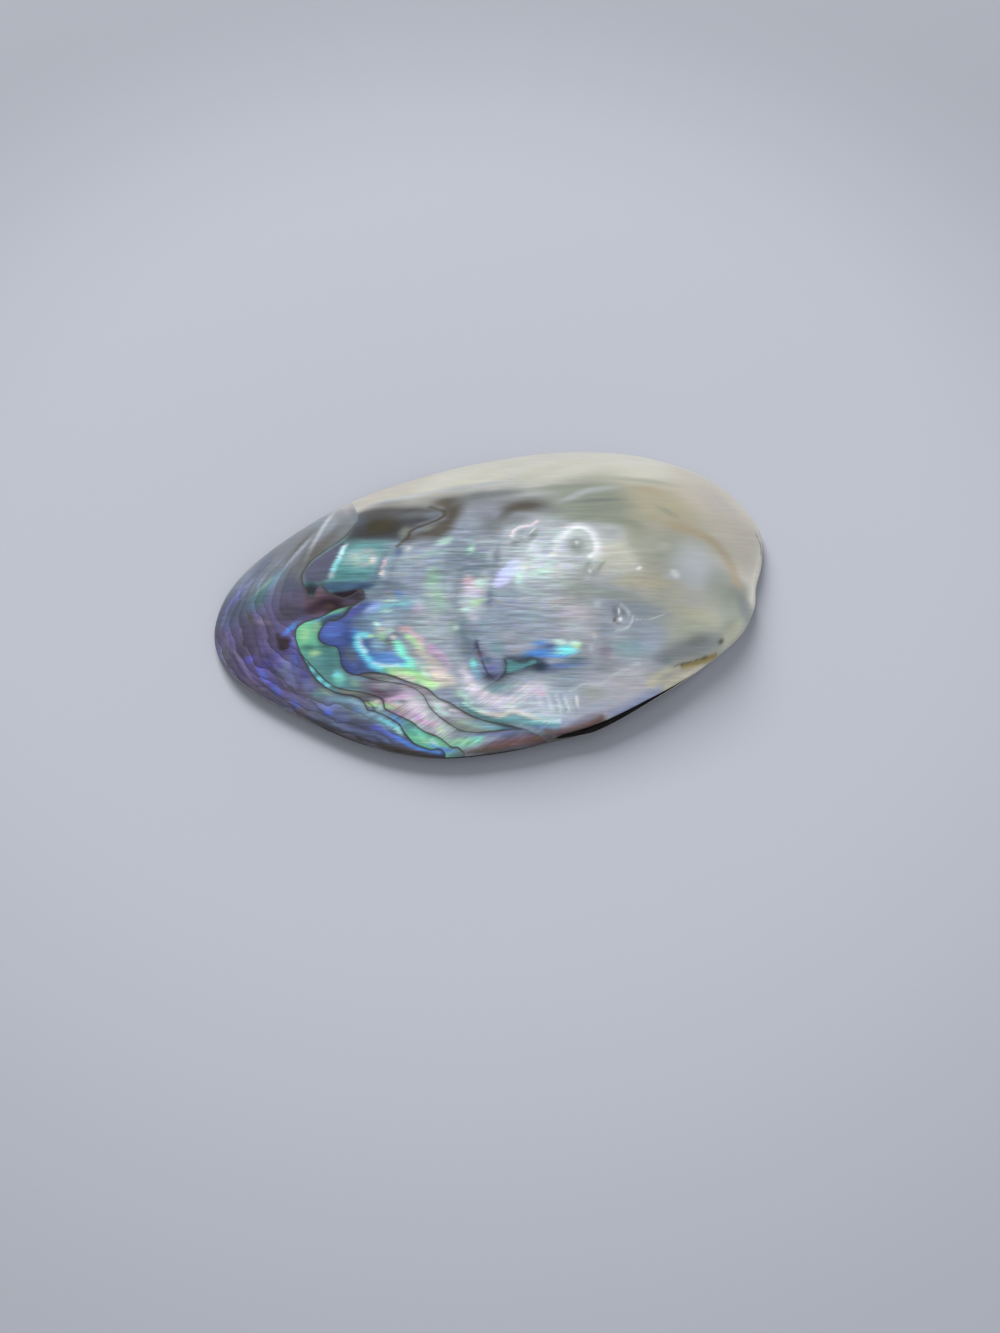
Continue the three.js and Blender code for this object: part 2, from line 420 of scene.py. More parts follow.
# %% Traced edges
AROUND_RIGHT = [(660, 800), (830, 800), (830, 420), (352, 420)]
SHARED_START = [
    (358, 514.8), (356.4, 523), (349.8, 532), (339.8, 541.3), (324.9, 551.3),
    (311.6, 561.2), (303.3, 572.8), (302.5, 581), (306.6, 591), (311, 597.7),
    (319.8, 585.2), (329.4, 592.9), (342.8, 597.7), (352.3, 594.8), (361, 589),
    (363.8, 596.7), (358, 602.5),
]
INNER_LOBES = [
    (350.4, 608.2), (344.7, 615.9), (335, 620.6), (327.5, 621.6), (320.8, 629.3),
    (318.9, 638.8), (325.6, 644.6), (337, 647.4), (339.9, 656), (341.8, 664.7),
    (347.6, 672.3), (356.2, 675.2),
]
INNER_TAIL = [
    (363.8, 673.3), (376.5, 672.9), (391.8, 675.7), (407, 681.5), (426.3, 688.2),
    (437.7, 697.7), (451, 703.5), (462.6, 711), (479.8, 718.8), (499, 723.6),
    (514, 726.5), (530, 731), (550, 742), (585, 770),
]
SECOND_TAIL = [
    (361.2, 676.2), (367, 677.4), (376.5, 679.9), (395.7, 682.9), (411, 686.9),
    (422.4, 694.4), (430, 707.3), (439.7, 716.9), (453, 726.4), (464.5, 731.2),
    (483.7, 732.2), (502.8, 730), (516, 729), (530, 731), (550, 742), (585, 770),
]
THIRD_TAIL = [
    (302, 655), (310, 664), (321, 675.5), (331, 684.5), (343.5, 689.3), (365.7, 692.9),
    (381, 698.1), (384.2, 703.5), (386, 709.2), (397.6, 715), (412.9, 722.6),
    (422.4, 730.3), (439.7, 737.9), (451, 746.5), (464, 752.5),
]
OUTER_START = [
    (335.1, 610.1), (319.8, 617.8), (304.5, 622.6), (296.8, 629.3), (295.9, 638.8),
    (298.8, 648.4),
]
OUTER_TAIL = [
    (304.4, 660.8), (315.9, 679), (327.4, 688.2), (338.9, 693.4), (354.3, 696.2),
    (363.8, 702), (367.6, 709.6), (372.7, 710.9), (386, 716), (399.5, 724.5),
    (405.2, 734), (414.8, 743.7), (430, 749.4), (445, 753),
]
LAYER_EDGES = {
    "inner": SHARED_START + INNER_LOBES + INNER_TAIL + AROUND_RIGHT,
    "second": SHARED_START + INNER_LOBES + SECOND_TAIL + AROUND_RIGHT,
    "third": SHARED_START + OUTER_START + THIRD_TAIL + [(500, 800)] + AROUND_RIGHT[1:],
    "fourth": SHARED_START + OUTER_START + OUTER_TAIL + [(470, 800)] + AROUND_RIGHT[1:],
}
FAINT_EDGES = [
    (1.0, 352, 496, 22, 17, 0), (0.5, 362, 516, 10, 8, 0), (1.0, 566, 748, 34, 16, 0),
    (1.0, 358, 508, 14, 12, 0), (0.9, 545, 735, 28, 12, -10), (0.6, 470, 757, 30, 6, 0),
]
print("layer edges traced:", len(LAYER_EDGES))

# %% Distance to an edge
SMOOTH_STEPS = 7
BLOCK = 6000
TINY = 1e-9


def gap_to_line(plan, line, closed=False):
    """Distance in mm from each plan point to a line, and how far along the nearest place is."""
    start = line if closed else line[:-1]
    step = (np.roll(line, -1, 0) if closed else line[1:]) - start
    length = (step ** 2).sum(1) + TINY
    gap, place = np.empty(len(plan)), np.empty(len(plan))
    for first in range(0, len(plan), BLOCK):
        some = plan[first:first + BLOCK]
        away_x = some[:, :1] - start[:, 0]
        away_y = some[:, 1:] - start[:, 1]
        share = np.clip((away_x * step[:, 0] + away_y * step[:, 1]) / length, 0, 1)
        square = (away_x - share * step[:, 0]) ** 2 + (away_y - share * step[:, 1]) ** 2
        nearest = square.argmin(1)
        row = np.arange(len(some))
        gap[first:first + BLOCK] = np.sqrt(square[row, nearest])
        place[first:first + BLOCK] = (nearest + share[row, nearest]) / len(step)
    return gap, place


def is_inside(plan, line):
    x, y = line[:, 0], line[:, 1]
    next_x, next_y = np.roll(x, -1), np.roll(y, -1)
    slope = (next_x - x) / (next_y - y + TINY / 1000)
    inside = np.zeros(len(plan), bool)
    for first in range(0, len(plan), BLOCK):
        px, py = plan[first:first + BLOCK, :1], plan[first:first + BLOCK, 1:]
        crossed = ((y > py) != (next_y > py)) & (px < slope * (py - y) + x)
        inside[first:first + BLOCK] = crossed.sum(1) % 2 == 1
    return inside


def layer_gap(plan, pixels):
    line = on_dome(catmull_rom(pixels, len(pixels) * SMOOTH_STEPS, closed=True))
    gap, _ = gap_to_line(plan, line, closed=True)
    return np.where(is_inside(plan, line), gap, -gap)


crest_gap = layer_gap(CREST[None], LAYER_EDGES["inner"])
print("the crest is", round(float(crest_gap[0])), "mm inside the inner edge")

# %% [markdown]
# ## Growth lines and other fine marks
# Thinner dark lines lie outside the layer edges, and a few scratches and cracks are
# bright. One dark line near the beak is painted shade in a crease, another at the far right
# is the rim's dark edge with painted shadow where it meets the table, and the bright lines
# on the rim of a blister are painted highlights. Each is an open traced line that tapers
# towards its ends: the distance kept on the skin grows a little there, so the cut in the
# material narrows to nothing.

# %% Traced fine lines
GROWTH_LINES = [
    [(250.9, 617.8), (252.8, 631.2), (258.6, 648.4), (264.3, 663.7), (275.8, 671.4), (285.4, 682.8),
     (296.8, 694.3), (312.2, 702), (321.7, 711.5), (338.9, 721.1), (365.7, 728.8), (377.2, 736.4),
     (396.4, 742.1)],
    [(223.2, 633), (225, 642.7), (233.7, 656), (243.3, 675.2), (258.6, 688.6), (272, 696.2),
     (285.4, 705.8), (304.5, 715.4), (319.8, 723), (342.8, 730.7), (361.9, 737.4)],
    [(229.9, 638.8), (239.4, 648.4), (245.2, 663.7), (254.8, 679), (268, 688.6), (281.5, 698.1),
     (295, 707.7), (312, 715.4)],
    [(258.6, 629.3), (264.3, 646.5), (270, 663.7), (281, 684), (297, 701)],
    [(275.8, 659.9), (285.4, 654.1), (295, 654.1), (298.8, 661.8), (296.9, 666.6), (292, 663.7),
     (294, 671.4), (298.8, 682.8), (312.2, 692.4)],
    [(240, 628), (243, 645), (250, 662), (262, 682), (276, 694)],
]
DARK_LINES = [
    [(429.4, 506.8), (442.6, 510.6), (444.3, 514), (441, 518), (431, 523), (416, 528.9),
     (409.5, 533.8), (407.8, 538.8), (397.8, 546.6)],
    [(276, 633), (282, 637), (288, 638), (291.5, 643)],
    [(277, 637), (278.5, 647), (285, 652), (293, 650)],
    [(501, 656), (506, 664), (504, 674), (497, 680)],
    [(508, 657), (518, 661), (530, 658), (538, 660), (535, 665), (524, 668), (509, 670)],
    [(476, 636), (478, 648), (482, 660), (487, 672), (495, 680), (507, 679)],
    # painted shade in the crease near the beak, then the far right rim's dark edge with painted shadow
    # where it meets the table
    [(667, 668), (690, 662), (712, 656)],
    [(755, 532), (760.5, 545), (761, 558)],
    [(364, 700), (372, 706), (376, 714)], [(286, 688), (291, 687), (294, 691)],
]
SCRATCHES_AND_GLINTS = [
    [(432.7, 600.5), (445, 597), (452, 596), (458, 591.8)],
    [(560, 684), (571, 691), (583, 684), (597, 685), (605, 680), (617, 673), (632, 668)],
    [(632, 619), (650, 619), (668, 613)], [(577, 697), (579, 704), (580, 708)],
    # painted highlights on the rim of a blister
    [(512, 536), (514, 530), (521, 526), (532, 523), (538, 521)],
    [(518, 538), (526, 537), (532, 531), (539, 525)],
]


FINE_STEPS = 5
FAR_GAP = 9.0
TAPER_SHARE = 0.18


def fine_gap(plan, lines, taper):
    """Distance to the nearest of several open lines, raised by taper towards their ends."""
    least = np.full(len(plan), FAR_GAP)
    for pixels in lines:
        line = on_dome(catmull_rom(pixels, len(pixels) * FINE_STEPS, closed=False))
        gap, place = gap_to_line(plan, line)
        from_end = np.minimum(place, 1 - place)
        least = np.minimum(least, gap + taper * (1 - smoothstep(from_end, 0, TAPER_SHARE)))
    return least


print("fine lines traced:", len(GROWTH_LINES) + len(DARK_LINES) + len(SCRATCHES_AND_GLINTS))


# %% [markdown]
# ## Colour in the layers
# Nacre has little colour of its own: thin films split the light, and the colour changes
# with the thickness of the film. The broad colours are therefore painted layer by layer,
# like thin washes of a named palette laid over each other. The finest play of colour, the
# brush marks and the gloss come later from the material.

# %% Palette
PALETTE = {
    "white": (236, 238, 242), "cream": (196, 196, 188), "ivory": (184, 180, 172),
    "straw": (172, 168, 150), "beige": (170, 158, 138), "sage": (142, 148, 138), "silver": (178, 184, 192),
    "tin": (154, 162, 178), "pewter": (164, 162, 168), "steel": (128, 138, 150),
    "grey": (116, 120, 124), "slate": (88, 98, 116), "umber": (92, 85, 76), "olive": (70, 66, 38),
    "charcoal": (70, 68, 72), "plum": (58, 46, 58), "mauve": (98, 92, 114), "heather": (130, 120, 136),
    "violet": (104, 102, 168), "iris": (104, 122, 190), "indigo": (78, 92, 146),
    "blue": (92, 146, 210), "navy": (58, 70, 108), "cyan": (140, 228, 240), "aqua": (148, 236, 216),
    "teal": (108, 154, 158), "petrol": (74, 108, 110), "mint": (204, 232, 222),
    "jade": (160, 188, 172), "green": (122, 190, 158), "sky": (158, 182, 238), "lime": (192, 228, 172),
    "pink": (206, 172, 206), "rose": (214, 184, 196), "blush": (226, 214, 226), "peach": (228, 212, 202),
    "lavender": (206, 208, 242), "lilac": (128, 136, 170), "cocoa": (112, 92, 102),
    "rust": (104, 84, 78), "gold": (128, 114, 70), "ink": (24, 22, 26), "bark": (72, 62, 62),
    "frost": (214, 220, 226), "ice": (150, 184, 204), "night": (44, 62, 78), "haze": (136, 144, 190),
}
GLOSS_VEIL = 0.018
DARKEST = 0.004
PRINT_TINT = np.array((1.07, 1.05, 1.01))
PRINT_CONTRAST = 1.14
PRINT_MIDDLE = 0.24


def seen_light(tone):
    """A palette colour as the light that reaches the eye, less what the gloss adds."""
    share = np.array(PALETTE[tone]) / 255
    light = np.where(share <= 0.04045, share / 12.92, ((share + 0.055) / 1.055) ** 2.4)
    light = PRINT_TINT * PRINT_MIDDLE * (light / PRINT_MIDDLE) ** PRINT_CONTRAST
    return np.maximum(light - GLOSS_VEIL, DARKEST)


print("tones in the palette:", len(PALETTE))

# %% [markdown]
# ## Washes
# A wash starts from broad tones that melt into each other. Over them go regions, drawn by
# their outline with a soft edge, then round patches with a half length, a half width and
# a tilt, and then strokes along a curve. All are written in pixels of the photograph and
# are laid on the dome where its lines of sight meet it.

# %% Broad tones
BROAD_TONES = {
    "outer": [
        ("steel", 345, 512), ("grey", 320, 540), ("grey", 300, 560), ("steel", 262, 585),
        ("slate", 235, 612), ("mauve", 222, 640), ("mauve", 240, 640), ("mauve", 240, 670),
        ("mauve", 262, 640), ("mauve", 282, 600), ("violet", 282, 672), ("heather", 262, 700),
        ("mauve", 300, 690), ("steel", 320, 692), ("steel", 350, 705), ("slate", 330, 716),
        ("heather", 300, 716), ("slate", 365, 725), ("mauve", 360, 738), ("lilac", 420, 752),
        ("slate", 400, 745), ("cocoa", 480, 748), ("cocoa", 560, 734),
    ],
    "fourth": [
        ("teal", 312, 668), ("petrol", 300, 650), ("cocoa", 372, 695), ("steel", 395, 715),
        ("teal", 410, 730), ("green", 430, 742), ("cocoa", 480, 748),
    ],
    "third": [
        ("green", 306, 632), ("teal", 322, 660), ("teal", 345, 682), ("heather", 375, 685),
        ("mauve", 390, 692), ("pink", 412, 706), ("pewter", 430, 705), ("pewter", 445, 722),
        ("steel", 470, 733), ("tin", 510, 733), ("cocoa", 545, 734),
    ],
    "second": [
        ("grey", 380, 679), ("heather", 410, 686), ("heather", 430, 695), ("heather", 445, 706),
        ("sage", 465, 718), ("sage", 485, 724), ("teal", 505, 727),
    ],
    "inner": [
        # the first cream and ivory tones, along the far band, are a painted reflection of the bright room
        # on the far slope
        ("ivory", 400, 490), ("cream", 460, 478), ("cream", 550, 462), ("cream", 640, 466),
        ("ivory", 705, 492), ("ivory", 745, 540), ("ivory", 752, 575), ("sage", 740, 615),
        ("straw", 690, 600), ("straw", 645, 585), ("straw", 660, 510), ("sage", 600, 505),
        ("sage", 655, 545), ("cream", 620, 560), ("silver", 690, 570), ("sage", 690, 625),
        ("steel", 640, 610), ("steel", 650, 645), ("tin", 610, 590), ("sage", 575, 585),
        ("silver", 545, 548), ("silver", 535, 600), ("tin", 505, 605), ("pewter", 573, 617),
        ("tin", 530, 625), ("silver", 500, 540), ("tin", 475, 530), ("steel", 470, 560), ("tin", 425, 555),
        ("silver", 430, 625), ("steel", 455, 640), ("tin", 495, 630), ("teal", 365, 565), ("tin", 400, 572),
        ("steel", 395, 615), ("indigo", 345, 640), ("tin", 460, 690), ("silver", 545, 705),
        ("pewter", 600, 690), ("pewter", 640, 675), ("steel", 575, 676), ("straw", 690, 672),
    ],
}
BROAD_BLUR = 7.0
BROAD_FALL = 2.5


def broad_wash(plan, tones):
    """Melts the tones into each other, each strongest at its own place."""
    total, weights = np.zeros((len(plan), 3)), np.zeros(len(plan))
    places = on_dome([(x, y) for _, x, y in tones])
    for (tone, _, _), place in zip(tones, places):
        weight = (((plan - place) ** 2).sum(1) + BROAD_BLUR ** 2) ** -BROAD_FALL
        total += weight[:, None] * seen_light(tone)
        weights += weight
    return total / weights[:, None]


print("broad tones:", sum(len(tones) for tones in BROAD_TONES.values()))

# %% Regions of the inner layer
# painted shade along the near rim, and the rim's dark border with painted shadow under the edge
RIM_SHADE = [(505, 724), (530, 725), (560, 726), (552, 737), (520, 736), (500, 733)]
RIM_BORDER_AND_SHADOW = [(490, 744), (510, 738), (530, 736), (560, 729), (600, 716), (604, 722), (560, 742), (530, 748),
            (500, 756), (480, 758)]
BEAK_FOOT = [(608, 711), (628, 701), (648, 690), (664, 685), (656, 694), (640, 705), (624, 714)]
INNER_REGIONS = [
    # the brown clouds high on the left, with a grey band of painted shade above them
    ("grey", 2.4, 0.5, [(366, 508), (397, 499), (425, 495), (450, 491), (486, 489), (470, 500), (430, 506),
        (380, 508)]),
    ("charcoal", 2, 0.9, [(352, 517), (362, 511), (378, 507), (400, 506), (428, 507), (441, 511),
        (442, 516), (430, 522), (414, 529), (405, 537), (398, 541), (380, 540), (360, 540), (344, 541),
        (349, 531), (354, 523)]),
    ("grey", 3, 0.7, [(440, 507), (452, 499), (470, 494), (500, 490), (520, 492), (492, 500), (470, 508),
        (456, 516)]),
    ("umber", 2.2, 0.9, [(446, 508), (454, 504), (462, 503), (462, 508), (460, 516), (455, 525), (449, 534),
        (440, 539), (425, 540), (409, 540), (411, 534), (424, 528), (440, 520), (446, 514)]),
    # teal, navy and plum at the left tip
    ("teal", 0.5, 0.85, [(345, 544), (352, 543), (372, 544), (383, 547), (375, 562), (368, 577), (352, 579),
        (330, 580), (333, 570), (339, 555)]),
    ("mauve", 0.7, 0.9, [(340, 543), (344, 545), (335, 560), (329, 574), (326, 580), (306, 582), (304, 572),
        (313, 561), (326, 552)]),
    ("navy", 1.2, 0.7, [(324, 583), (345, 581), (362, 582), (372, 586), (362, 590), (350, 591), (330, 593),
        (322, 589)]),
    ("plum", 0.4, 0.95, [(331, 593), (345, 591), (357, 589), (361, 593), (364, 598), (350, 598), (343, 600),
        (335, 597)]),
    # the lavender slope and the cream one in the middle
    ("lavender", 0.6, 0.95, [(493, 585), (499, 574), (509, 562), (519, 559), (519, 570), (511, 581),
        (499, 587)]),
    ("cream", 1.6, 0.7, [(600, 541), (622, 540), (631, 552), (640, 566), (640, 570), (625, 568), (601, 573),
        (597, 560)]),
    ("silver", 1.2, 0.6, [(555, 523), (600, 522), (624, 529), (622, 540), (600, 545), (575, 523)]),
    # low on the right: painted shade on the steep slope, the straw bevel and the foot of the beak
    ("grey", 1.6, 0.9, [(660, 652), (680, 640), (706, 633), (721, 636), (721, 648), (712, 656), (690, 663),
        (668, 664), (655, 660)]),
    ("straw", 0.4, 0.95, [(646, 684), (652, 675), (665, 669), (682, 667), (700, 663), (717, 656),
        (712, 664), (695, 676), (675, 686), (660, 690)]),
    ("steel", 0.6, 0.5, BEAK_FOOT), ("lilac", 0.6, 0.5, BEAK_FOOT),
    # the peach corner of the rainbow and the island's two chambers
    ("peach", 0.7, 0.9, [(428, 666), (452, 679), (458, 684), (440, 687), (424, 684), (420, 676)]),
    ("slate", 2.4, 0.45, [(470, 640), (476, 640), (484, 656), (490, 676), (508, 680), (496, 684),
        (480, 678), (470, 664), (467, 650)]),
    ("night", 1.4, 0.85, [(504, 656), (520, 656), (536, 655), (546, 660), (545, 668), (534, 672),
        (518, 674), (504, 680), (490, 682), (486, 676), (502, 670)]),
    ("lilac", 0.6, 0.75, [(477, 648), (488, 656), (500, 660), (505, 668), (501, 676), (492, 679),
        (484, 672)]),
    ("teal", 0.3, 0.9, [(508, 660), (518, 663), (527, 663), (532, 660), (538, 661), (534, 665), (524, 668),
        (508, 672)]),
    # painted shade along the near rim, and the rim's dark border with painted shadow under the edge
    ("slate", 1.6, 0.75, RIM_SHADE), ("bark", 1.2, 0.85, RIM_BORDER_AND_SHADOW),
]
print("regions of the inner layer:", len(INNER_REGIONS))

# %% Regions of the other layers
OUTER_REGIONS = [
    ("heather", 0.3, 0.5, [(274, 661), (283, 656), (291, 657), (291, 672), (296, 684), (290, 694),
        (280, 684), (275, 672)]),
    ("iris", 0.3, 0.7, [(290, 656), (295, 655), (299, 663), (298, 667), (292, 663)]),
    ("pewter", 2.4, 0.6, [(328, 514), (340, 503), (352, 496), (364, 490), (364, 506), (352, 513),
        (338, 522)]),
    ("bark", 0.3, 0.95, [(276, 633), (282, 637), (288, 638), (291, 643), (287, 650), (279, 648)]),
    ("charcoal", 1.4, 0.45, [(276, 612), (284, 604), (298, 604), (304, 610), (300, 617), (288, 622),
        (278, 619)]),
    ("cocoa", 0.9, 0.8, [(306, 594), (322, 590), (345, 599), (362, 597), (350, 608), (338, 613), (312, 616),
        (304, 606)]),
    ("steel", 0.4, 0.6, [(366, 703), (380, 712), (396, 722), (404, 732), (392, 730), (376, 721), (358, 716),
        (345, 710)]),
]
FOURTH_REGIONS = [
    # painted shade along the near rim, as in the inner layer
    ("slate", 1.2, 0.9, [(500, 722), (530, 723), (560, 727), (562, 744), (520, 746), (496, 742)]),
    ("green", 0.5, 0.8, [(405, 734), (415, 730), (430, 739), (442, 748), (430, 749), (414, 744)]),
    ("grey", 0.4, 0.8, [(338, 689), (354, 692), (372, 696), (381, 699), (383, 703), (366, 700),
        (352, 695)]),
]
THIRD_REGIONS = [
    # painted shade along the near rim, and the rim's dark border with painted shadow under the edge
    ("slate", 1.6, 0.75, RIM_SHADE), ("bark", 1.2, 0.85, RIM_BORDER_AND_SHADOW),
    ("slate", 0.5, 0.95, [(316, 622), (330, 616), (345, 611), (358, 602), (364, 599), (352, 616),
        (338, 621), (328, 627)]),
    ("green", 0.8, 0.75, [(298, 627), (306, 623), (320, 622), (317, 634), (316, 646), (300, 645),
        (296, 636)]),
    ("green", 0.6, 0.7, [(447, 741), (462, 738), (484, 737), (478, 744), (462, 748), (450, 746)]),
]
SECOND_REGIONS = [
    # painted shade along the near rim, as in the inner layer
    ("slate", 1.2, 0.9, [(504, 722), (530, 723), (560, 727), (552, 740), (520, 738), (500, 732)]),
]
REGIONS = {
    "inner": INNER_REGIONS, "outer": OUTER_REGIONS, "fourth": FOURTH_REGIONS,
    "third": THIRD_REGIONS, "second": SECOND_REGIONS,
}
print("regions:", sum(len(regions) for regions in REGIONS.values()))

# %% Patches of the outer layer
OUTER_PATCHES = [
    ("ivory", 348, 502, 16, 7, 35, 0.8), ("silver", 324, 526, 26, 2.2, 50, 0.9),
    ("silver", 300, 550, 20, 2.2, 47, 0.5), ("tin", 330, 528, 18, 4, 50, 0.5),
    ("umber", 322, 545, 28, 6, 45, 0.6), ("grey", 343, 520, 8, 16, 30, 0.6),
    ("umber", 300, 545, 20, 2, 48, 0.5), ("slate", 262, 566, 22, 5, 48, 0.6),
    ("teal", 270, 584, 20, 4, 45, 0.45), ("jade", 262, 588, 14, 1.6, 42, 0.5),
    ("slate", 292, 584, 12, 10, 60, 0.6), ("petrol", 258, 598, 14, 8, 40, 0.6),
    ("grey", 300, 575, 5, 14, 30, 0.5), ("violet", 236, 598, 16, 3, 50, 0.5),
    ("mauve", 300, 596, 8, 8, 0, 0.6), ("plum", 330, 604, 19, 8, 0, 0.95),
    ("ink", 338, 608, 14, 4, -12, 0.4), ("rust", 329, 606, 6, 3, 0, 0.5),
    ("mauve", 352, 601, 8, 2.5, 12, 0.8), ("plum", 312, 610, 10, 5, 10, 0.7),
    ("umber", 251, 617, 3, 6, 0, 0.8), ("heather", 262, 622, 10, 3, -10, 0.7),
    ("haze", 285, 667, 8, 8, -30, 0.7), ("violet", 291, 645, 2, 4, 0, 0.5),
    ("blue", 291, 628, 10, 2.6, 42, 0.75), ("lilac", 296, 640, 3, 8, 0, 0.6),
    ("violet", 250, 659, 7, 3.5, 12, 0.9), ("mauve", 253, 667, 5, 4, 0, 0.8),
    ("violet", 260, 668, 3.5, 5, 20, 0.9), ("iris", 264, 676, 5, 3, -60, 0.9),
    ("violet", 267, 664, 4, 5, 20, 0.8), ("violet", 272, 684, 6, 3, -50, 0.9),
    ("iris", 276, 690, 6, 3, -45, 0.9), ("violet", 280, 666, 4, 4, 0, 0.8),
    ("heather", 250, 682, 8, 4, -45, 0.5), ("slate", 270, 697, 9, 2.6, -35, 0.7),
    ("iris", 295, 704, 6, 2.6, -35, 0.9), ("lilac", 284, 706, 12, 2.4, -32, 0.8),
    ("mauve", 300, 680, 5, 8, 0, 0.7), ("violet", 305, 677, 5, 8, 10, 0.7),
    ("plum", 310, 690, 3, 1.4, -25, 0.9), ("teal", 318, 694, 6, 5, 0, 0.6),
    ("jade", 326, 692, 8, 2.6, -20, 0.6), ("teal", 345, 700, 14, 4, -10, 0.5),
    ("tin", 356, 703, 9, 3, -30, 0.8), ("blue", 356, 709, 5, 2.4, -35, 0.8),
    ("ice", 376, 716, 26, 6, -32, 0.75), ("haze", 292, 679, 8, 10, -20, 0.6),
    ("haze", 308, 686, 8, 6, -30, 0.6), ("ice", 338, 699, 14, 5, -8, 0.5),
    ("ice", 357, 701, 8, 4, -20, 0.5), ("iris", 328, 712, 5, 3, -20, 0.95),
    ("steel", 345, 707, 14, 3, -5, 0.6), ("slate", 348, 713, 8, 2, -5, 0.9),
    ("lilac", 330, 706, 12, 4, 0, 0.7), ("lilac", 312, 717, 7, 2.4, -30, 0.8),
    ("steel", 360, 717, 16, 3, -14, 0.5), ("lilac", 340, 722, 14, 2, -18, 0.5),
    ("cyan", 386, 722, 8, 1.8, -30, 0.8), ("mint", 399, 731, 5, 2.4, -40, 0.8),
    ("cyan", 396, 727, 8, 1.8, -38, 0.8), ("violet", 377, 728, 6, 2.6, -20, 0.95),
    ("iris", 392, 735, 14, 2.2, -28, 0.8), ("slate", 372, 735, 18, 2, -18, 0.7),
    ("iris", 402, 741, 16, 2, -28, 0.7), ("lilac", 372, 741, 8, 2, -22, 0.7),
    ("blue", 425, 750, 16, 1.8, -20, 0.7), ("iris", 446, 753, 10, 2.6, 0, 0.8),
    ("umber", 400, 750, 26, 1.6, -14, 0.5), ("rust", 474, 752, 22, 2.4, 4, 0.7),
    ("cocoa", 520, 744, 30, 4, 14, 0.7), ("rust", 548, 737, 26, 2.4, 14, 0.7),
    ("mauve", 260, 640, 12, 14, 0, 0.45), ("slate", 272, 691, 9, 5, -35, 0.4),
    ("steel", 283, 671, 5, 9, -20, 0.35), ("grey", 223, 654, 6, 9, 0, 0.45),
    ("plum", 356, 595, 9, 6, 0, 0.8), ("ink", 340, 600, 14, 5, 8, 0.3), ("grey", 354, 514, 4, 8, 30, 0.7),
]
print("patches of the outer layer:", len(OUTER_PATCHES))

# %% Patches of the three cut layers
FOURTH_PATCHES = [
    ("slate", 464, 757, 18, 4, 0, 0.6), ("ice", 386, 716, 20, 6, -36, 0.7),
    ("cyan", 307, 660, 3, 1.6, -60, 0.9), ("cyan", 312, 669, 4, 2.2, -50, 0.95),
    ("cyan", 320, 679, 4, 2.4, -45, 0.95), ("cyan", 327, 685, 4, 2.2, -40, 0.9),
    ("teal", 335, 690, 5, 2, -35, 0.8), ("sage", 350, 692, 12, 2.4, -10, 0.7),
    ("heather", 376, 697, 8, 2, -20, 0.7), ("lime", 373, 704.5, 9, 2, -8, 0.95),
    ("peach", 377, 701.5, 6, 1.4, -12, 0.9), ("mint", 381, 707, 4, 2, -20, 0.9),
    ("steel", 386, 712, 8, 3, -30, 0.7), ("blue", 398, 720, 10, 2, -36, 0.8),
    ("teal", 410, 728, 10, 3, -38, 0.8), ("aqua", 418, 733, 10, 1.6, -36, 0.6),
    ("mint", 434, 743, 7, 2, -35, 0.7), ("blue", 436, 747, 12, 2, -22, 0.8),
    ("lime", 424, 741, 9, 1.4, -30, 0.5), ("iris", 448, 750, 8, 2.4, -10, 0.8),
]
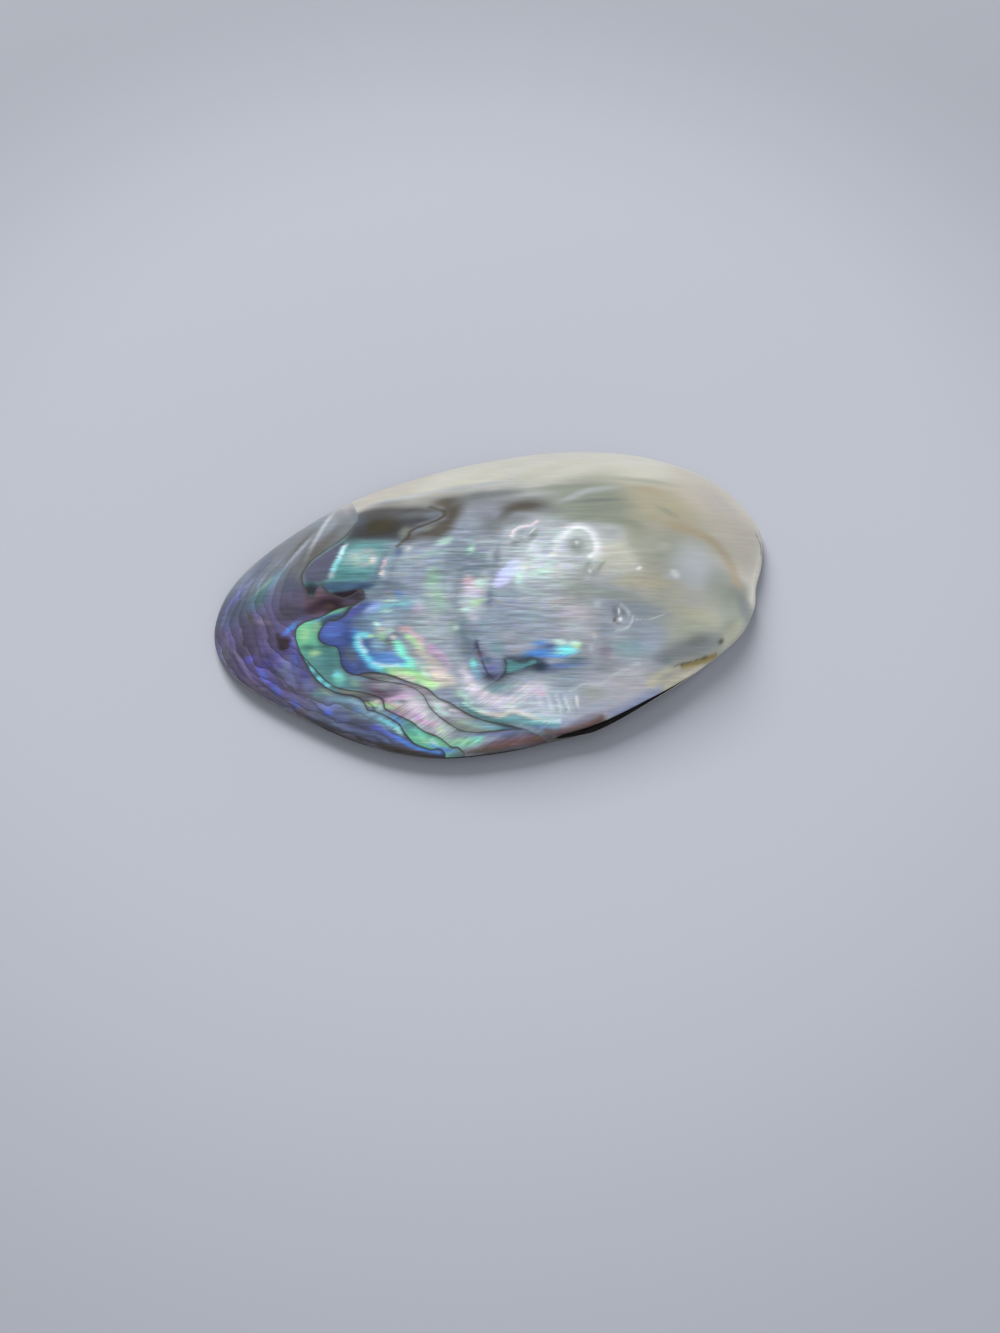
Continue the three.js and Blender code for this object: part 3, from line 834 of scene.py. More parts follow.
THIRD_PATCHES = [
    ("frost", 432, 707, 18, 11, -40, 0.85), ("blush", 412, 701, 12, 7, -30, 0.7),
    ("frost", 441, 729, 10, 6, -20, 0.7), ("frost", 424, 717, 14, 5, -36, 0.6),
    ("silver", 392, 682, 16, 5, -14, 0.7), ("blush", 414, 706, 12, 9, -40, 0.5),
    ("ice", 358, 678, 10, 4, -10, 0.6), ("frost", 415, 721, 10, 4, -36, 0.5),
    ("bark", 549, 737, 18, 4, 14, 0.7), ("slate", 509, 735, 15, 4, 0, 0.85),
    ("cocoa", 505, 742, 22, 3, 8, 0.8), ("frost", 398, 701, 8, 4, -10, 0.5),
    ("jade", 381, 706, 8, 4, -30, 0.7), ("jade", 455, 727, 14, 5, -10, 0.6),
    ("indigo", 332, 616, 12, 2, 14, 0.7), ("blue", 318, 619, 8, 2, 24, 0.5),
    ("plum", 350, 606, 12, 5, -20, 0.7), ("lime", 305, 634, 6, 7, 0, 0.45),
    ("straw", 316, 627, 3, 6, -10, 0.5), ("petrol", 308, 647, 8, 3, 0, 0.6),
    ("lime", 315, 653, 6, 3, 6, 0.7), ("petrol", 326, 648, 8, 6, 0, 0.5),
    ("petrol", 330, 662, 8, 12, -40, 0.35), ("aqua", 339, 678, 6, 6, -35, 0.65),
    ("cyan", 336, 674, 3, 3, 0, 0.6), ("teal", 352, 684, 7, 3, -5, 0.6), ("lime", 356, 683, 6, 3, -10, 0.3),
    ("heather", 366, 684, 12, 4, -8, 0.6), ("pewter", 385, 687, 12, 4, -14, 0.6),
    ("cocoa", 380, 693, 11, 2.4, -16, 0.9), ("rose", 389, 700, 4, 2.6, 0, 0.9),
    ("pink", 400, 697.5, 9, 2.2, 4, 0.9), ("blush", 411, 703, 7, 4.4, -30, 0.95),
    ("mauve", 403, 701.5, 5, 1.6, 0, 0.8), ("lime", 390, 706.5, 6, 2, -30, 0.9),
    ("straw", 400, 710, 9, 2.4, -28, 0.8), ("peach", 398, 706, 8, 1.6, -15, 0.8),
    ("blush", 420, 712, 9, 5, -40, 0.75), ("silver", 425, 700, 9, 7, -45, 0.6),
    ("pink", 418, 718, 9, 3, -38, 0.8), ("rose", 432, 724, 9, 2.6, -30, 0.95),
    ("pink", 424, 720, 7, 2, -35, 0.8), ("green", 418, 725, 12, 1.6, -36, 0.6),
    ("lime", 441, 730, 6, 2, -25, 0.9), ("silver", 450, 731, 5, 4, -20, 0.7),
    ("sage", 436, 713, 5, 9, -45, 0.4), ("jade", 444, 738, 8, 3, -20, 0.7),
    ("steel", 462, 732, 12, 2.4, -4, 0.7), ("lilac", 490, 734, 22, 2.4, 4, 0.8),
    ("lime", 464, 741, 10, 2, 2, 0.45), ("aqua", 474, 740, 7, 2, 10, 0.6),
    ("cocoa", 505, 742, 34, 4, 12, 0.9), ("rust", 502, 746, 34, 3, 12, 0.9),
    ("rust", 548, 736, 24, 3, 12, 0.9), ("umber", 478, 751, 20, 3, 4, 0.8),
]
SECOND_PATCHES = [
    ("frost", 438, 705, 14, 8, -40, 0.8), ("frost", 391, 681, 16, 4, -14, 0.5),
    ("silver", 458, 716, 18, 7, -20, 0.6), ("ice", 484, 724, 16, 5, -10, 0.6),
    ("umber", 384, 679, 14, 1.6, -6, 0.7), ("tin", 405, 682, 12, 2, -14, 0.6),
    ("pewter", 424, 692, 14, 5, -35, 0.8), ("mint", 437, 708, 4, 3, -40, 0.8),
    ("blush", 443, 705, 5, 1.4, -10, 0.9), ("blush", 452, 710, 7, 1.2, -8, 0.8),
    ("mauve", 446, 709, 3, 1, -40, 0.7), ("mint", 444, 713, 6, 1.8, -10, 0.8),
    ("straw", 462, 722, 10, 1.8, 20, 0.4), ("jade", 470, 724, 12, 2, -14, 0.6),
    ("pink", 459, 713, 6, 1.6, -30, 0.4), ("teal", 497, 728, 14, 2, -2, 0.6),
]
print("patches of the cut layers:", len(FOURTH_PATCHES) + len(THIRD_PATCHES) + len(SECOND_PATCHES))

# %% Inner patches, far side and right
INNER_PATCHES = [
    # the far cream band, a painted reflection of the bright room on the far slope, the grey one below it,
    # and painted shade at the beak
    ("cream", 450, 480, 50, 9, 14, 0.7), ("cream", 540, 466, 60, 10, 2, 0.8),
    ("ivory", 700, 486, 40, 9, -33, 0.6), ("silver", 400, 499, 34, 3, 13, 0.6),
    ("grey", 388, 503, 20, 2.4, 8, 0.5), ("tin", 470, 487, 40, 3, 8, 0.5),
    ("grey", 485, 495, 40, 4, 6, 0.55), ("sage", 560, 487, 50, 3, 6, 0.6),
    ("sage", 640, 480, 36, 2.4, -4, 0.5), ("silver", 574, 496, 18, 3, 22, 0.6),
    ("tin", 488, 510, 20, 8, 10, 0.6), ("sage", 592, 505, 46, 5, 2, 0.8), ("grey", 600, 500, 26, 2, 4, 0.5),
    ("sage", 570, 515, 30, 5, -8, 0.6), ("sage", 628, 522, 26, 4, -14, 0.7),
    ("straw", 660, 503, 30, 10, -18, 0.75), ("sage", 668, 512, 14, 3, -28, 0.5),
    ("beige", 648, 490, 18, 4, -8, 0.6), ("pewter", 720, 505, 22, 9, -38, 0.5),
    ("sage", 652, 540, 20, 12, 0, 0.5), ("sage", 735, 596, 10, 12, -60, 0.5),
    ("grey", 745, 608, 14, 7, -72, 0.7), ("straw", 735, 630, 14, 7, 50, 0.5),
    # broad soft light and shade in the middle
    ("frost", 554, 558, 34, 24, 0, 0.7), ("frost", 528, 572, 15, 17, 0, 0.6),
    ("frost", 471, 604, 13, 11, 0, 0.7), ("frost", 474, 690, 17, 10, -35, 0.8),
    ("frost", 500, 702, 22, 6, 0, 0.5), ("ice", 380, 624, 22, 14, 0, 0.6),
    ("frost", 388, 627, 10, 7, 0, 0.5), ("ice", 411, 603, 18, 7, 0, 0.6),
    ("jade", 418, 674, 14, 5, -15, 0.7), ("jade", 418, 687, 12, 4, -20, 0.7),
    ("umber", 520, 501, 32, 5, 4, 0.55), ("umber", 446, 502, 16, 5, 12, 0.8),
    ("frost", 578, 538, 24, 14, 0, 0.4),
    # soft light on the right
    ("silver", 696, 572, 18, 20, 0, 0.5), ("white", 675, 574, 3.5, 5, 60, 0.6),
    ("silver", 672, 575, 9, 4, 10, 0.5), ("sage", 715, 585, 12, 18, 0, 0.4),
    ("cream", 664, 546, 8, 5, 0, 0.3), ("pewter", 693, 600, 12, 7, 0, 0.5),
    ("white", 639, 568, 2.6, 1.6, 20, 0.8), ("straw", 640, 582, 34, 7, 0, 0.7),
    ("cream", 612, 548, 10, 6, 0, 0.5), ("steel", 640, 608, 30, 5, -6, 0.5),
    ("sage", 610, 594, 30, 6, -6, 0.6), ("straw", 700, 615, 24, 6, -10, 0.4),
    ("tin", 650, 632, 14, 8, 0, 0.4), ("teal", 628, 648, 22, 8, 0, 0.4), ("tin", 652, 645, 10, 7, 0, 0.5),
    ("olive", 721, 641.5, 2.4, 3.6, -40, 0.8), ("petrol", 667, 661, 6, 4, 0, 0.3),
    ("pewter", 634, 678, 22, 8, 14, 0.6), ("ivory", 690, 673, 20, 2, 30, 0.7),
    ("sage", 652, 674, 12, 4, 10, 0.4), ("heather", 606, 652, 7, 9, 0, 0.6),
    ("steel", 606, 632, 9, 9, 0, 0.6), ("mauve", 590, 716, 30, 3, 22, 0.4),
    ("rust", 598, 718, 10, 1.6, 26, 0.8), ("sage", 592, 692, 12, 7, 0, 0.6),
    ("tin", 600, 706, 16, 4, 20, 0.6),
]

# %% Inner patches, clouds and left end
INNER_PATCHES += [
    # inside the brown clouds
    ("charcoal", 378, 531, 26, 9, 6, 0.8), ("olive", 381, 526, 17, 8, 12, 0.95),
    ("grey", 420, 514, 20, 4, 6, 0.7), ("plum", 345, 594.5, 14, 3.4, 0, 0.9),
    ("ink", 356, 594.5, 7, 3, 0, 0.6), ("night", 311, 588, 9, 7, -20, 0.75),
    ("navy", 366, 586, 10, 4, 0, 0.6), ("steel", 432, 515, 9, 3, 10, 0.6),
    ("sage", 405, 532, 7, 5, 35, 0.6), ("slate", 358, 520, 6, 9, 60, 0.5),
    ("sage", 430, 528, 6, 2, 18, 0.6), ("umber", 449, 511, 6, 10, 10, 0.7),
    ("umber", 522, 507, 26, 6, 8, 0.85), ("umber", 505, 515, 12, 5, 30, 0.7),
    ("grey", 494, 528, 9, 12, 50, 0.6), ("grey", 472, 497, 12, 3, 14, 0.5),
    # the teal block and the silver one beside it
    ("petrol", 350, 575, 22, 4, 0, 0.5), ("teal", 350, 566, 14, 5, 0, 0.5),
    ("jade", 355, 557, 5, 4, -45, 0.8), ("jade", 357, 562, 3, 4, 30, 0.6),
    ("pewter", 370, 552, 9, 4, 0, 0.6), ("peach", 373, 560, 4, 3.4, 30, 0.7),
    ("rose", 366, 564, 5, 1.6, 10, 0.5), ("slate", 380, 565, 2.6, 16, -22, 0.5),
    ("rose", 384.5, 563, 2, 5, -25, 0.85), ("peach", 382, 573, 2, 4, 0, 0.85),
    ("slate", 391, 572, 3, 14, -18, 0.3), ("indigo", 399, 552, 4, 5, 0, 0.6),
    ("silver", 407, 549, 5, 4, 20, 0.8), ("white", 408, 548, 2.4, 2, 20, 0.5),
    ("silver", 414, 558, 12, 4, 0, 0.5), ("mint", 445, 541, 9, 3.4, 14, 0.65),
    ("jade", 432, 553, 18, 3, 8, 0.5), ("steel", 425, 546, 14, 2.6, 0, 0.4),
    ("jade", 471, 548, 4, 7, -20, 0.6), ("mint", 471.5, 549, 1.5, 4, -25, 0.6),
    ("silver", 460, 535, 4, 10, -35, 0.4), ("silver", 490, 555, 3, 8, -12, 0.6),
    ("olive", 322, 583, 5, 2, -25, 0.6), ("petrol", 311, 588, 8, 6, -30, 0.7),
    ("steel", 376, 594, 14, 4, 0, 0.7), ("mauve", 388, 590, 20, 2, 0, 0.5),
    ("blue", 399, 594, 4, 3.4, 0, 0.6),
    # blue lobes and marks above the arc
    ("violet", 356, 611, 14, 4, 32, 0.85), ("iris", 332, 630, 11, 8, 20, 0.85),
    ("blue", 330, 634, 8, 2.4, 0, 0.5), ("iris", 338, 641, 9, 3, 0, 0.7),
    ("slate", 349, 652, 8, 8, 0, 0.75), ("indigo", 352, 668, 9, 7, 0, 0.7),
    ("iris", 354, 665, 4, 4, 0, 0.4), ("slate", 372, 669, 13, 3, -6, 0.8),
    ("steel", 362, 625, 10, 7, 0, 0.6), ("sky", 374, 607, 9, 5, 32, 0.95),
    ("lavender", 370, 609, 4, 2, 32, 0.6), ("mint", 390, 601, 9, 1.4, 0, 0.85),
    ("cyan", 388, 606, 7, 1.2, 0, 0.7), ("mint", 386, 611, 7, 1.2, 0, 0.8),
    ("aqua", 402, 604, 10, 1, 0, 0.7), ("pink", 418, 607, 6, 6, 0, 0.6), ("tin", 392, 617, 18, 3, 0, 0.6),
    ("mint", 376, 624, 3.4, 2.6, -30, 0.9), ("lime", 370, 636, 5, 1.6, 0, 0.9),
    ("peach", 381, 629, 5, 1.4, 0, 0.7), ("mint", 390, 631, 4.4, 1.4, 0, 0.9),
    ("lime", 382, 636, 5, 5, 0, 0.5), ("peach", 393, 637, 3, 2.4, -30, 0.8),
    ("umber", 396, 633, 3, 4, 0, 0.4), ("umber", 387, 641, 3, 4, 0, 0.35),
    ("lime", 397, 643, 4, 1.6, 10, 0.7),
]

# %% Inner patches, arc and middle
INNER_PATCHES += [
    # inside the arc and in the rainbow
    ("blue", 388, 658, 19, 7, -4, 0.75), ("indigo", 372, 646, 6, 3.4, 0, 0.5),
    ("slate", 386, 650, 10, 2, 0, 0.4), ("lilac", 392, 661, 14, 1.6, 0, 0.5),
    ("steel", 402, 657, 6, 2.4, -30, 0.3), ("pewter", 416, 655, 6, 9, 40, 0.5),
    ("pewter", 427, 670, 6, 3, -30, 0.6), ("pink", 430, 648, 7, 4, -30, 0.8),
    ("pink", 444, 658, 8, 4, -50, 0.85), ("pink", 438, 654, 12, 6, -40, 0.85),
    ("heather", 434, 656, 3, 1.4, -30, 0.5), ("pink", 449, 667, 4, 4, 0, 0.8),
    ("straw", 430, 662, 4, 2.4, -40, 0.7), ("lime", 432, 684, 9, 3, -14, 0.7),
    ("mint", 427, 682, 10, 3, -20, 0.85), ("sage", 444, 663, 4, 2, 0, 0.4),
    ("blush", 446, 676, 6, 3, -30, 0.5), ("jade", 450, 628, 6, 7, 50, 0.5),
    ("mint", 456, 627, 3, 3, 40, 0.5),
    # middle columns
    ("jade", 434, 582, 9, 17, 0, 0.75), ("jade", 436, 604, 8, 12, 0, 0.55),
    ("steel", 437, 570, 3, 10, 0, 0.2), ("blush", 474, 587, 11, 9, 0, 0.85),
    ("rose", 468, 580, 5, 5, 0, 0.85), ("mint", 480, 583, 5.5, 5, 4, 0.9),
    ("lime", 478, 602, 7, 3, 14, 0.7), ("mint", 466, 609, 8, 2.2, 14, 0.95),
    ("blush", 472, 618, 7, 2.4, 0, 0.5), ("slate", 497, 556, 3, 12, -10, 0.45),
    ("slate", 490, 592, 2.4, 16, 0, 0.5), ("tin", 510, 592, 14, 5, 0, 0.4),
    ("mint", 521, 578, 4.5, 7, 0, 0.8), ("cream", 527, 562, 3.6, 10, -14, 0.8),
    ("white", 524, 569, 2.4, 4, 0, 0.6), ("white", 532, 547, 3, 8, -22, 0.4),
    ("silver", 548, 545, 7, 14, -12, 0.4), ("jade", 552, 563, 8, 4, 0, 0.5),
    ("mint", 546, 571, 12, 4, 2, 0.9), ("jade", 540, 575, 9, 1.6, 0, 0.5),
    ("peach", 558, 571, 6, 6, 0, 0.55), ("pewter", 570, 562, 12, 3, 0, 0.5),
    ("steel", 537, 583, 14, 5, 0, 0.3), ("blush", 575, 612, 14, 8, 0, 0.3),
    ("pewter", 513, 640, 16, 12, 0, 0.5), ("teal", 530, 614, 18, 4, 0, 0.25),
    ("teal", 497, 647, 9, 7, -40, 0.5),
]

# %% Inner patches, island and near edge
INNER_PATCHES += [
    # island and the blue streak
    ("navy", 476, 645, 2.6, 6, -8, 0.8), ("cocoa", 480, 654, 4, 4, 0, 0.8),
    ("slate", 466, 640, 4, 16, 15, 0.4), ("aqua", 474, 664, 3.4, 5, 0, 0.6),
    ("cyan", 473, 665, 3, 4, 0, 0.7), ("violet", 492, 668, 6, 2, 0, 0.6),
    ("plum", 490, 676, 8, 2.6, 0, 0.7), ("petrol", 487, 660, 4, 4, 0, 0.5),
    ("petrol", 528, 657, 9, 2, -4, 0.6), ("indigo", 545, 648, 14, 4, 8, 0.5),
    ("blue", 540, 643, 8, 2.6, 6, 0.75), ("blue", 540, 653, 16, 4, 6, 0.95),
    ("indigo", 552, 646, 8, 2.4, 0, 0.6), ("blue", 556, 656, 14, 2, 0, 0.9),
    ("cyan", 567, 649, 10, 4, -2, 1.0), ("mint", 560, 642, 7, 2.6, -8, 0.85),
    ("mint", 574, 643, 6, 2.6, 0, 0.9), ("lime", 577, 646, 4, 3, 0, 0.7),
    ("cyan", 566, 653, 12, 1.6, 4, 0.9), ("petrol", 575, 659, 14, 2.4, 6, 0.6),
    ("indigo", 566, 665, 26, 4, 3, 0.45), ("blue", 560, 666, 14, 1.2, 0, 0.5),
    ("silver", 591, 648, 3, 4, 0, 0.6), ("silver", 594, 637, 2, 4, 0, 0.5),
    # pale flow and the fringe along the edge
    ("steel", 505, 681, 22, 4, 10, 0.45), ("teal", 495, 688, 16, 3, 14, 0.55),
    ("jade", 512, 687, 16, 1.4, 14, 0.5), ("blush", 532, 689, 15, 6, 4, 0.9),
    ("pink", 537, 690, 8, 3, 0, 0.6), ("rose", 542, 694, 6, 2, -10, 0.7),
    ("blush", 515, 698, 12, 3, 0, 0.5), ("white", 577, 701, 1.4, 5, 6, 0.75),
    ("silver", 570, 700, 10, 7, 0, 0.3), ("jade", 462, 695, 12, 3, -24, 0.6),
    ("mint", 463, 692, 5, 1.2, -24, 0.7), ("teal", 470, 706, 14, 2, -28, 0.6),
    ("sage", 484, 717, 20, 3, -16, 0.6), ("teal", 515, 719, 22, 2.4, -4, 0.6),
    ("cyan", 553, 722, 6, 1.6, -10, 0.9), ("aqua", 538, 721, 8, 1.2, -6, 0.5),
    ("iris", 545, 726, 12, 2, -2, 0.85), ("cocoa", 560, 730, 16, 1.6, 6, 0.7),
    ("heather", 580, 722, 14, 2.4, 18, 0.5), ("rust", 580, 729, 14, 1.4, 18, 0.7),
    # blisters and the pit, with painted highlights on their rims and painted shade below them
    ("sage", 577, 544, 10, 9, 0, 0.7), ("grey", 574, 551, 9, 3.6, 0, 0.35),
    ("white", 577, 542.5, 1.4, 2, 0, 0.7), ("blush", 572, 526, 9, 2, 8, 0.5),
    ("mint", 556, 540, 3, 6, -40, 0.6), ("grey", 515, 543, 5, 3.4, 0, 0.6),
    ("grey", 531, 535, 4, 5, -30, 0.5), ("steel", 521, 532, 5, 2.4, 20, 0.5),
    ("sage", 590, 561, 2, 8, -34, 0.8), ("sage", 601, 566, 2, 7, -34, 0.6),
    ("cream", 594, 567, 1.3, 7, -34, 0.8), ("white", 590, 571, 1.8, 1.6, 0, 0.7),
    ("silver", 587, 578, 3.4, 2.6, 0, 0.7), ("silver", 597, 604, 4, 3, 0, 0.8),
    ("silver", 598, 599, 10, 1.2, -4, 0.4),
]

# %% Inner patches, small corrections all over
INNER_PATCHES += [
    ("frost", 524, 563, 9, 8, -10, 0.5), ("frost", 560, 568, 16, 6, 0, 0.5),
    ("frost", 560, 543, 5, 9, -20, 0.5), ("silver", 576, 629, 14, 9, 0, 0.6),
    ("silver", 486, 580, 6, 10, 0, 0.6), ("frost", 452, 679, 9, 5, -30, 0.6),
    ("frost", 466, 682, 6, 6, -40, 0.5), ("ice", 477, 672, 5, 7, -20, 0.8),
    ("frost", 415, 640, 8, 5, -40, 0.5), ("silver", 426, 658, 8, 4, -45, 0.5),
    ("mint", 418, 673, 12, 4, -12, 0.8), ("grey", 484, 521, 14, 22, 10, 0.4),
    ("plum", 357, 595, 8, 6, 0, 0.8), ("indigo", 366, 606, 8, 4, 0, 0.6),
    ("slate", 391, 584, 14, 5, 0, 0.45), ("umber", 408, 540, 7, 5, 30, 0.6),
    ("teal", 349, 556, 8, 8, 0, 0.35), ("blue", 372, 665, 8, 3, 20, 0.5),
    ("jade", 418, 683, 12, 4, -20, 0.7), ("jade", 441, 597, 8, 9, 0, 0.4),
    ("ice", 474, 675, 7, 6, -20, 0.6), ("frost", 487, 583, 6, 8, 0, 0.4),
    ("grey", 510, 521, 16, 6, 10, 0.45), ("navy", 549, 670, 12, 4, 4, 0.5),
    ("bark", 551, 736, 18, 4, 14, 0.6), ("lilac", 563, 721, 12, 3, 6, 0.5),
    ("steel", 623, 661, 14, 6, 4, 0.45), ("ivory", 656, 531, 16, 8, -20, 0.4),
    ("plum", 311, 590, 10, 7, 0, 0.85), ("slate", 347, 547, 8, 5, 30, 0.4),
    ("slate", 374, 580, 10, 6, 0, 0.4), ("mint", 420, 664, 12, 5, -20, 0.4),
    ("frost", 451, 582, 6, 14, 0, 0.35), ("frost", 434, 595, 10, 10, 0, 0.3),
    ("grey", 546, 510, 16, 6, 0, 0.4), ("steel", 599, 668, 14, 5, 0, 0.5),
    ("cream", 647, 545, 14, 10, 0, 0.3), ("grey", 670, 678, 14, 5, 20, 0.3),
    ("slate", 550, 726, 14, 4, 4, 0.4), ("night", 541, 667, 9, 5, 10, 0.7),
    ("steel", 352, 656, 8, 10, 0, 0.4), ("iris", 333, 631, 13, 9, 20, 0.6), ("ink", 360, 598, 6, 4, 0, 0.6),
    ("ice", 378, 646, 7, 5, 0, 0.7), ("grey", 672, 673, 14, 3, 25, 0.4),
    ("grey", 744, 590, 8, 14, -70, 0.35), ("olive", 729, 629, 12, 8, 40, 0.2),
    ("steel", 466, 648, 8, 8, 0, 0.6), ("olive", 384, 525, 14, 7, 12, 0.5),
    ("umber", 440, 527, 12, 8, 10, 0.4), ("umber", 524, 506, 22, 5, 6, 0.4),
    ("olive", 698, 640, 12, 5, 12, 0.25), ("olive", 690, 668, 12, 3, 24, 0.3),
    ("cream", 450, 681, 8, 4, -20, 0.6), ("silver", 598, 489, 22, 3, 8, 0.5),
    ("frost", 360, 558, 18, 9, 0, 0.3), ("mint", 404, 668, 9, 3, -6, 0.5),
    ("frost", 418, 604, 8, 5, 0, 0.5), ("ice", 403, 604, 10, 5, 0, 0.5), ("jade", 437, 597, 7, 10, 0, 0.5),
    ("ice", 382, 607, 8, 4, 0, 0.6), ("ice", 376, 644, 7, 5, 0, 0.6), ("grey", 514, 519, 20, 5, 10, 0.45),
    ("grey", 489, 521, 8, 8, 30, 0.45), ("grey", 609, 667, 14, 6, 14, 0.45),
    ("grey", 682, 684, 12, 3, 28, 0.7), ("lilac", 544, 727, 20, 3, -2, 0.5),
    # the small blister low on the right, with painted highlights on its rim and painted shade in its hollow
    ("grey", 615, 613, 3, 7, 10, 0.7), ("umber", 614, 620, 1.6, 2.4, 0, 0.9),
    ("white", 618.6, 611, 0.9, 3, 5, 0.9), ("white", 620, 619, 2.2, 1.4, 0, 0.9),
    ("umber", 618, 623, 4, 1, -14, 0.7), ("grey", 623, 613, 2.4, 4, 30, 0.6),
]
PATCHES = {
    "outer": OUTER_PATCHES, "fourth": FOURTH_PATCHES, "third": THIRD_PATCHES,
    "second": SECOND_PATCHES, "inner": INNER_PATCHES,
}

# %% Strokes of the inner layer
INNER_STROKES = [
    ("ivory", 7, 0.5, [(690, 484), (718, 506), (738, 535), (750, 570), (753, 600)]),
    ("beige", 7, 0.75, [(676, 526), (700, 534), (718, 547), (730, 564), (737, 582)]),
    ("steel", 4, 0.4, [(466, 522), (456, 540), (450, 556), (450, 572), (455, 590), (455, 604), (464, 620),
        (474, 636)]),
    ("silver", 9, 0.6, [(428, 612), (436, 628), (446, 646), (455, 665), (460, 680)]),
    # the cyan and white glint at the left tip, a painted highlight
    ("silver", 2.4, 0.7, [(345, 545), (341, 553), (336, 563), (331, 577)]),
    ("cyan", 2.6, 0.6, [(344, 548), (339, 558), (334, 570)]),
    ("white", 1.6, 0.5, [(345, 546), (342, 552), (339, 558)]),
    ("blue", 5, 0.7, [(356, 634), (357, 642), (362, 650), (368, 658), (376, 666), (390, 668), (402, 665)]),
    ("cyan", 2.8, 0.8, [(366, 635), (358, 636), (357, 643), (362, 651), (368, 658), (373, 665),
        (382, 668)]),
    ("cyan", 2, 0.8, [(380, 668), (392, 666), (405, 665), (412, 667)]),
    ("aqua", 3.6, 0.95, [(396, 644), (402, 651), (407, 659), (412, 667)]),
    ("green", 3.4, 0.9, [(384, 669), (396, 670), (408, 671), (418, 674)]),
    ("lime", 4, 0.9, [(392, 672), (408, 674), (420, 678), (432, 685)]),
    ("peach", 2, 0.7, [(396, 675), (406, 677), (414, 680)]),
    ("lime", 3, 0.8, [(408, 637), (416, 643), (421, 649)]),
    ("rose", 3, 0.85, [(401, 629), (410, 630), (416, 636), (420, 642)]),
    ("peach", 4, 0.6, [(420, 650), (430, 660), (440, 669), (452, 680)]),
    ("blush", 4.5, 0.95, [(464, 672), (469, 679), (474, 688), (483, 695), (496, 701), (510, 705)]),
    ("white", 2, 0.6, [(465, 673), (470, 681), (474, 688)]),
    ("teal", 3.6, 0.75, [(464, 705), (478, 713), (495, 719), (515, 718), (535, 721), (556, 723)]),
    ("petrol", 1.6, 0.6, [(470, 711), (484, 717), (500, 721), (520, 723), (538, 726)]),
    ("peach", 1.6, 0.8, [(480, 711), (492, 714), (502, 715), (512, 711), (522, 713), (534, 718)]),
    ("mint", 1.4, 0.7, [(464, 703), (476, 709), (486, 712)]),
    ("mint", 1.4, 0.6, [(534, 718), (548, 721), (560, 721)]),
    ("mint", 1.6, 0.6, [(458, 692), (466, 697), (472, 702)]),
    ("rust", 1.6, 0.75, [(545, 731), (565, 728), (585, 723), (603, 715)]),
    # painted highlights on the rims of the blisters and the pit
    ("white", 2.6, 0.75, [(553, 553), (558, 543), (565, 534), (577, 527), (588, 530), (594, 538),
        (597, 548), (591, 556)]),
    ("blush", 1.6, 0.85, [(512, 537), (514, 531), (521, 527), (531, 525), (537, 521)]),
    ("silver", 1.4, 0.8, [(516, 538), (523, 537), (530, 532), (536, 526)]),
    ("silver", 1.4, 0.8, [(621, 605), (626, 609), (629, 614)]),
    ("silver", 1.0, 0.7, [(633, 616), (631, 624), (625, 629), (617, 630)]),
    ("silver", 1.4, 0.4, [(570, 690), (585, 684), (600, 684), (616, 674), (640, 664)]),
    # painted shade along the crease above the bevel near the beak
    ("gold", 1.5, 0.9, [(682, 666.5), (698, 662), (716, 656)]),
    ("umber", 1.8, 0.9, [(430, 507), (443, 511), (444, 516), (432, 522), (412, 530), (408, 537),
        (397, 547)]),
    ("frost", 1.0, 0.3, [(528, 693), (530, 702)]), ("frost", 1.0, 0.3, [(538, 696), (541, 706)]),
    ("frost", 1.0, 0.3, [(548, 696), (551, 709)]), ("frost", 1.0, 0.35, [(557, 695), (561, 712)]),
    ("frost", 1.0, 0.4, [(565, 697), (569, 711)]), ("steel", 1.0, 0.4, [(573, 699), (577, 712)]),
    ("steel", 1.0, 0.35, [(544, 696), (547, 708)]), ("steel", 1.0, 0.35, [(553, 696), (557, 711)]),
    ("steel", 1.0, 0.4, [(561, 696), (566, 711)]),
    # more painted highlight round the ring blister, and painted shade low on the blister beside it
    ("frost", 4, 0.5, [(552, 556), (557, 543), (565, 533), (577, 526), (589, 528), (596, 538), (599, 550),
        (592, 560)]),
    ("sage", 1.4, 0.5, [(519, 539), (526, 542), (533, 538), (537, 530)]),
    ("white", 1.4, 0.5, [(359, 637), (361, 645), (366, 653)]),
    ("white", 1.2, 0.5, [(374, 663), (386, 666), (398, 665)]),
]
print("strokes of the inner layer:", len(INNER_STROKES))

